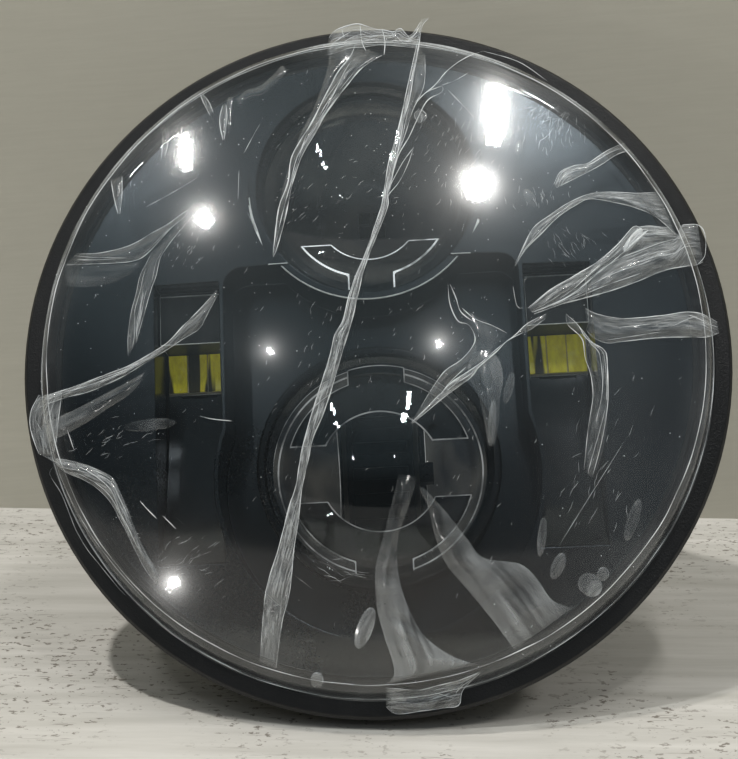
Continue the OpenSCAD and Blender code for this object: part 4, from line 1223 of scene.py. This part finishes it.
def addFilm():
    looseFilm = pleatFilm()
    filmSheet = addFilmSheet(flatFilm())
    strips = [foldStrip(fold, k) for k, fold in enumerate(folds.values())]
    strips += [foldStrip(bubbleStrip(*row), foldForm["bubbleSeed"] + k)
               for k, row in enumerate(bubbles.values())]
    points, faces, haze, uv = [], [], [], []
    n = foldForm["columns"]
    for spots, milk, flat, rows, turned in strips:
        base = len(points)
        points.extend(spots)
        haze.extend(milk)
        uv.extend(flat)
        for k in (base + r * n + c for r in range(rows - 1) for c in range(n - 1)):
            corners = (k, k + n, k + n + 1, k + 1)
            faces.append(corners[::-1] if turned else corners)
    pleats = meshObject("filmFolds", points, faces, looseFilm)
    addValues(pleats, "haze", haze)
    layer = pleats.data.uv_layers.new(name="pleat")
    for loop in pleats.data.loops:
        layer.data[loop.index].uv = uv[loop.vertex_index]
    settle(pleats, "clear_film")
    lines = settle(addCreases(), "clear_film")
    dust = settle(addDust(filmSheet), "clear_film")


# Haze of the flat film: a band of painted highlight round the lens's rim, brighter over the
# upper half where the light falls, a milky border and patches. Reaches are the distances over
# which the upper half gets more of it than the lower.
sheetHaze = {
    "patchScale": 60,
    "least": 0.0008,
    "patches": 0.004,
    "bandR": 82.6 * mm,
    "bandWidth": 1.2 * mm,
    "bandReach": 110 * mm,
    "borderR": 72 * mm,
    "borderWidth": 10 * mm,
    "border": 0.05,
    "speckReach": 120 * mm,
}


# The flat part of the film, down over the lens's side to the flange
def addFilmSheet(material):
    edge = lensDome()[0]
    rings, segments = film["rings"], film["segments"]
    turns = [2 * math.pi * j / segments for j in range(segments)]
    outers = [film["edgeR"] + film["edgeWave"]
              * noise.noise(Vector((math.cos(a) * 4, math.sin(a) * 4, 2.7))) for a in turns]
    spots = [(0.0, 0.0)]
    for k in range(1, rings + 1):
        inner = min(k / rings / film["domeShare"], 1)
        outer = max(k / rings - film["domeShare"], 0) / (1 - film["domeShare"])
        spots += [(r * math.cos(a), r * math.sin(a)) for a, r in
                  zip(turns, (inner * edge + outer * (last - edge) for last in outers))]
    flat = np.array(spots)
    radius = np.hypot(flat[:, 0], flat[:, 1])
    depth = bedY(radius) - film["gap"] * np.where(radius > lens["ringR"], 1.6, 1.0)
    points = np.column_stack([flat[:, 0], depth, flat[:, 1]])
    scale = sheetHaze["patchScale"]
    patch = np.array([noise.noise(Vector((x * scale, z * scale, 9.1))) for x, z in spots])
    band = np.exp(-((radius - sheetHaze["bandR"]) / sheetHaze["bandWidth"]) ** 2)
    border = np.clip((radius - sheetHaze["borderR"]) / sheetHaze["borderWidth"], 0, 1) ** 2
    # The rim's band of painted highlight grows towards the top, where the light falls
    upper = np.clip(0.55 + flat[:, 1] / sheetHaze["bandReach"], 0.12, 1)
    haze = np.maximum(0, sheetHaze["least"] + sheetHaze["patches"] * patch
                      + border * sheetHaze["border"] * (0.6 + patch)
                      + band * upper * (0.12 + 0.5 * patch))
    for x, z, wide, high, amount in film["clouds"]:
        haze += amount * np.exp(-((flat[:, 0] - x) / wide) ** 2 - ((flat[:, 1] - z) / high) ** 2)
    specks = np.clip(0.45 + flat[:, 1] / sheetHaze["speckReach"] + patch, 0.05, 1)
    faces = [(0, 1 + j, 1 + (j + 1) % segments) for j in range(segments)]
    for k in range(rings - 1):
        a, b = 1 + k * segments, 1 + (k + 1) * segments
        faces += [(a + j, b + j, b + (j + 1) % segments, a + (j + 1) % segments)
                  for j in range(segments)]
    sheet = meshObject("filmSheet", points, faces, material)
    addValues(sheet, "haze", haze)
    addValues(sheet, "specks", specks)
    return settle(sheet, "clear_film", "protective_film")


# A Geometry Nodes tree with named inputs, whose nodes are linked as they are added
class Pattern:
    def __init__(self, name, inputs):
        self.tree = bpy.data.node_groups.new(name, "GeometryNodeTree")
        sockets = self.tree.interface
        sockets.new_socket("Geometry", in_out="INPUT", socket_type="NodeSocketGeometry")
        for key, (kind, value) in inputs.items():
            socket = sockets.new_socket(key, in_out="INPUT", socket_type="NodeSocket" + kind)
            socket.default_value = value
        sockets.new_socket("Geometry", in_out="OUTPUT", socket_type="NodeSocketGeometry")
        self.given = self.tree.nodes.new("NodeGroupInput").outputs

    def add(self, kind, settings=None, inputs=None, out=0):
        node = self.tree.nodes.new(kind)
        for key, value in (settings or {}).items():
            setattr(node, key, value)
        for key, value in (inputs or {}).items():
            if isinstance(value, bpy.types.NodeSocket):
                self.tree.links.new(value, node.inputs[key])
            else:
                node.inputs[key].default_value = value
        return node.outputs[out]

    # Runs the tree on an object and gives the plain mesh that comes out
    def run(self, obj, geometry, material, values, name):
        geometry = self.add("GeometryNodeRealizeInstances", {}, {0: geometry})
        geometry = self.add("GeometryNodeSetShadeSmooth", {}, {0: geometry, "Shade Smooth": True})
        geometry = self.add("GeometryNodeSetMaterial", {}, {0: geometry, "Material": material})
        out = self.tree.nodes.new("NodeGroupOutput")
        self.tree.links.new(geometry, out.inputs[0])
        modifier = obj.modifiers.new(name, "NODES")
        modifier.node_group = self.tree
        for item in self.tree.interface.items_tree:
            if item.in_out == "INPUT" and item.name in values:
                modifier[item.identifier] = values[item.name]
        graph = bpy.context.evaluated_depsgraph_get()
        mesh = bpy.data.meshes.new_from_object(obj.evaluated_get(graph))
        obj.modifiers.remove(modifier)
        return linked(name, mesh)


# Broken ridges that run along inside a fold, their white a painted highlight
def foldRidges(fold, chance):
    length = pixelLength(fold["left"])
    rows = max(int(length / fineLines["step"]), 10)
    left, right = smoothLine(fold["left"], rows), smoothLine(fold["right"], rows)
    width = np.hypot(*(right - left).T)
    usual = int(width.mean() / fineLines["ridgeSpacing"] + length / fineLines["ridgeLength"])
    ridges = []
    for _ in range(fold.get("ridges", usual)):
        start = chance.uniform(0, 0.7)
        run = np.arange(int(start * rows), int((start + chance.uniform(0.2, 0.5)) * rows))
        run = run[run < rows]
        if len(run) < 4:
            continue
        across = np.linspace(chance.uniform(0.1, 0.9), chance.uniform(0.1, 0.9), len(run))
        line = left[run] * (1 - across[:, None]) + right[run] * across[:, None]
        tent = np.sin(np.pi * across) * np.minimum(1, width[run] / foldForm["fullWidth"])
        ridges.append((chance.uniform(*fineLines["ridgeRadius"]),
                       line, film["gap"] * foldForm["liftShare"] + fold["rise"] * mm * tent))
    return ridges


def scratchLines(chance):
    middle = np.array(fineLines["middle"], float)
    lines = []
    for centre, spread, count, lean, lengths in scuffs.values():
        for _ in range(count):
            spot = np.array([chance.gauss(c, d * 0.6) for c, d in zip(centre, spread)])
            turn = math.radians(chance.gauss(lean, 16))
            reach = np.array([math.cos(turn), -math.sin(turn)]) * chance.uniform(*lengths) / 2
            bend = np.array([reach[1], -reach[0]]) * chance.uniform(-0.25, 0.25)
            if np.hypot(*(spot - middle)) < fineLines["scuffReach"]:
                lines.append((chance.uniform(*fineLines["scuffRadius"]),
                              np.array([spot - reach, spot + bend, spot + reach]),
                              np.full(3, film["gap"] * 1.5)))
    return lines


# Every bright line: its radii in millimetres and its points
def brightLines():
    chance = random.Random(fineLines["seed"])
    drawn = list(creases.values())
    rows = []
    for fold in folds.values():
        if "threads" in fold:
            edges = zip(fold["threads"], (fold["left"], fold["right"]))
            drawn += [(radius, pixels) for radius, pixels in edges if radius]
            rows += foldRidges(fold, chance)
    for radius, pixels in drawn:
        line = smoothLine(pixels, max(int(pixelLength(pixels) / fineLines["step"]), 6))
        rows.append((radius, line, np.full(len(line), film["gap"] + fineLines["rise"])))
    lines = []
    for k, (radius, line, lift) in enumerate(rows):
        spots = onFilm(line[:, 0], line[:, 1], lift)
        share = np.linspace(0, 1, len(spots))
        uneven = [0.75 + 1.2 * noise.noise(Vector((*(spot / fineLines["unevenLength"]), k)))
                  for spot in line]
        taper = np.minimum(1, 0.2 + 5 * np.minimum(share, 1 - share))
        lines.append((radius * taper * np.clip(uneven, 0.15, 1.5), spots))
    for radius, line, lift in scratchLines(chance):
        lines.append((np.array([0.4, 1, 0.4]) * radius, onFilm(line[:, 0], line[:, 1], lift)))
    turns = np.linspace(0, 2 * np.pi, fineLines["edgePoints"])
    for ringR, radius in fineLines["edgeHighlightRings"]:
        wave = np.array([noise.noise(Vector((math.cos(a) * 9, math.sin(a) * 9, ringR)))
                         for a in turns])
        reach = (ringR + 0.25 * wave) * mm
        depth = bedY(reach) - film["gap"] * 1.8
        # The painted highlight of the edge rings is wider over the upper half, where the light falls
        bright = np.clip(0.75 + 0.25 * np.sin(turns) + 1.1 * wave[::-1], 0.2, 1.6)
        lines.append((radius * bright,
                      np.column_stack([reach * np.cos(turns), depth, reach * np.sin(turns)])))
    return lines


# Crease lines: fine threads of light along the sharp bends of the film
def addCreases():
    paths = bpy.data.curves.new("creasePaths", "CURVE")
    paths.dimensions = "3D"
    for radii, spots in brightLines():
        spline = paths.splines.new("POLY")
        spline.points.add(len(spots) - 1)
        for point, spot, radius in zip(spline.points, spots, radii):
            point.co = (*spot, 1)
            point.radius = radius
    holder = linked("creasePaths", paths)
    p = Pattern("creaseThreads", {"Thickness": ("Float", 0.001), "Sides": ("Int", 5)})
    ring = p.add("GeometryNodeCurvePrimitiveCircle", {"mode": "RADIUS"},
                 {"Resolution": p.given["Sides"], "Radius": p.given["Thickness"]})
    scale = p.add("GeometryNodeInputRadius")
    tube = p.add("GeometryNodeCurveToMesh", {}, {"Curve": p.given["Geometry"],
                                                 "Profile Curve": ring, "Scale": scale,
                                                 "Fill Caps": True})
    made = p.run(holder, tube, creaseFilm(), {"Thickness": 1 * mm, "Sides": 5}, "filmCreases")
    bpy.data.objects.remove(holder)
    return made


# Specks of dust and tiny bubbles, thickest over the upper half
dustSpots = {"Density": 52000.0, "Seed": 7, "Least": 0.035 * mm, "Most": 0.13 * mm}


def addDust(sheet):
    p = Pattern("specks", {"Density": ("Float", 1.0), "Seed": ("Int", 1),
                           "Least": ("Float", 0.1), "Most": ("Float", 0.3)})
    share = p.add("GeometryNodeInputNamedAttribute", {"data_type": "FLOAT"}, {"Name": "specks"})
    density = p.add("ShaderNodeMath", {"operation": "MULTIPLY"},
                    {0: share, 1: p.given["Density"]})
    spots = p.add("GeometryNodeDistributePointsOnFaces", {},
                  {"Mesh": p.given["Geometry"], "Density": density, "Seed": p.given["Seed"]})
    size = p.add("FunctionNodeRandomValue", {"data_type": "FLOAT"},
                 {2: p.given["Least"], 3: p.given["Most"], "Seed": p.given["Seed"]}, out=1)
    ball = p.add("GeometryNodeMeshIcoSphere", {}, {"Radius": 1.0, "Subdivisions": 1})
    dots = p.add("GeometryNodeInstanceOnPoints", {}, {"Points": spots, "Instance": ball,
                                                      "Scale": size})
    return p.run(sheet, dots, creaseFilm(), dustSpots, "filmSpecks")


print("camera, table and lamps")
addCamera()
addStage()
addLamps()
addWorld()
bpy.context.scene.view_settings.view_transform = "Standard"
print("CAD pieces")
finishNodes()
print("clear lenses")
buildLens()
buildProjectorLenses()
print("film")
addFilm()
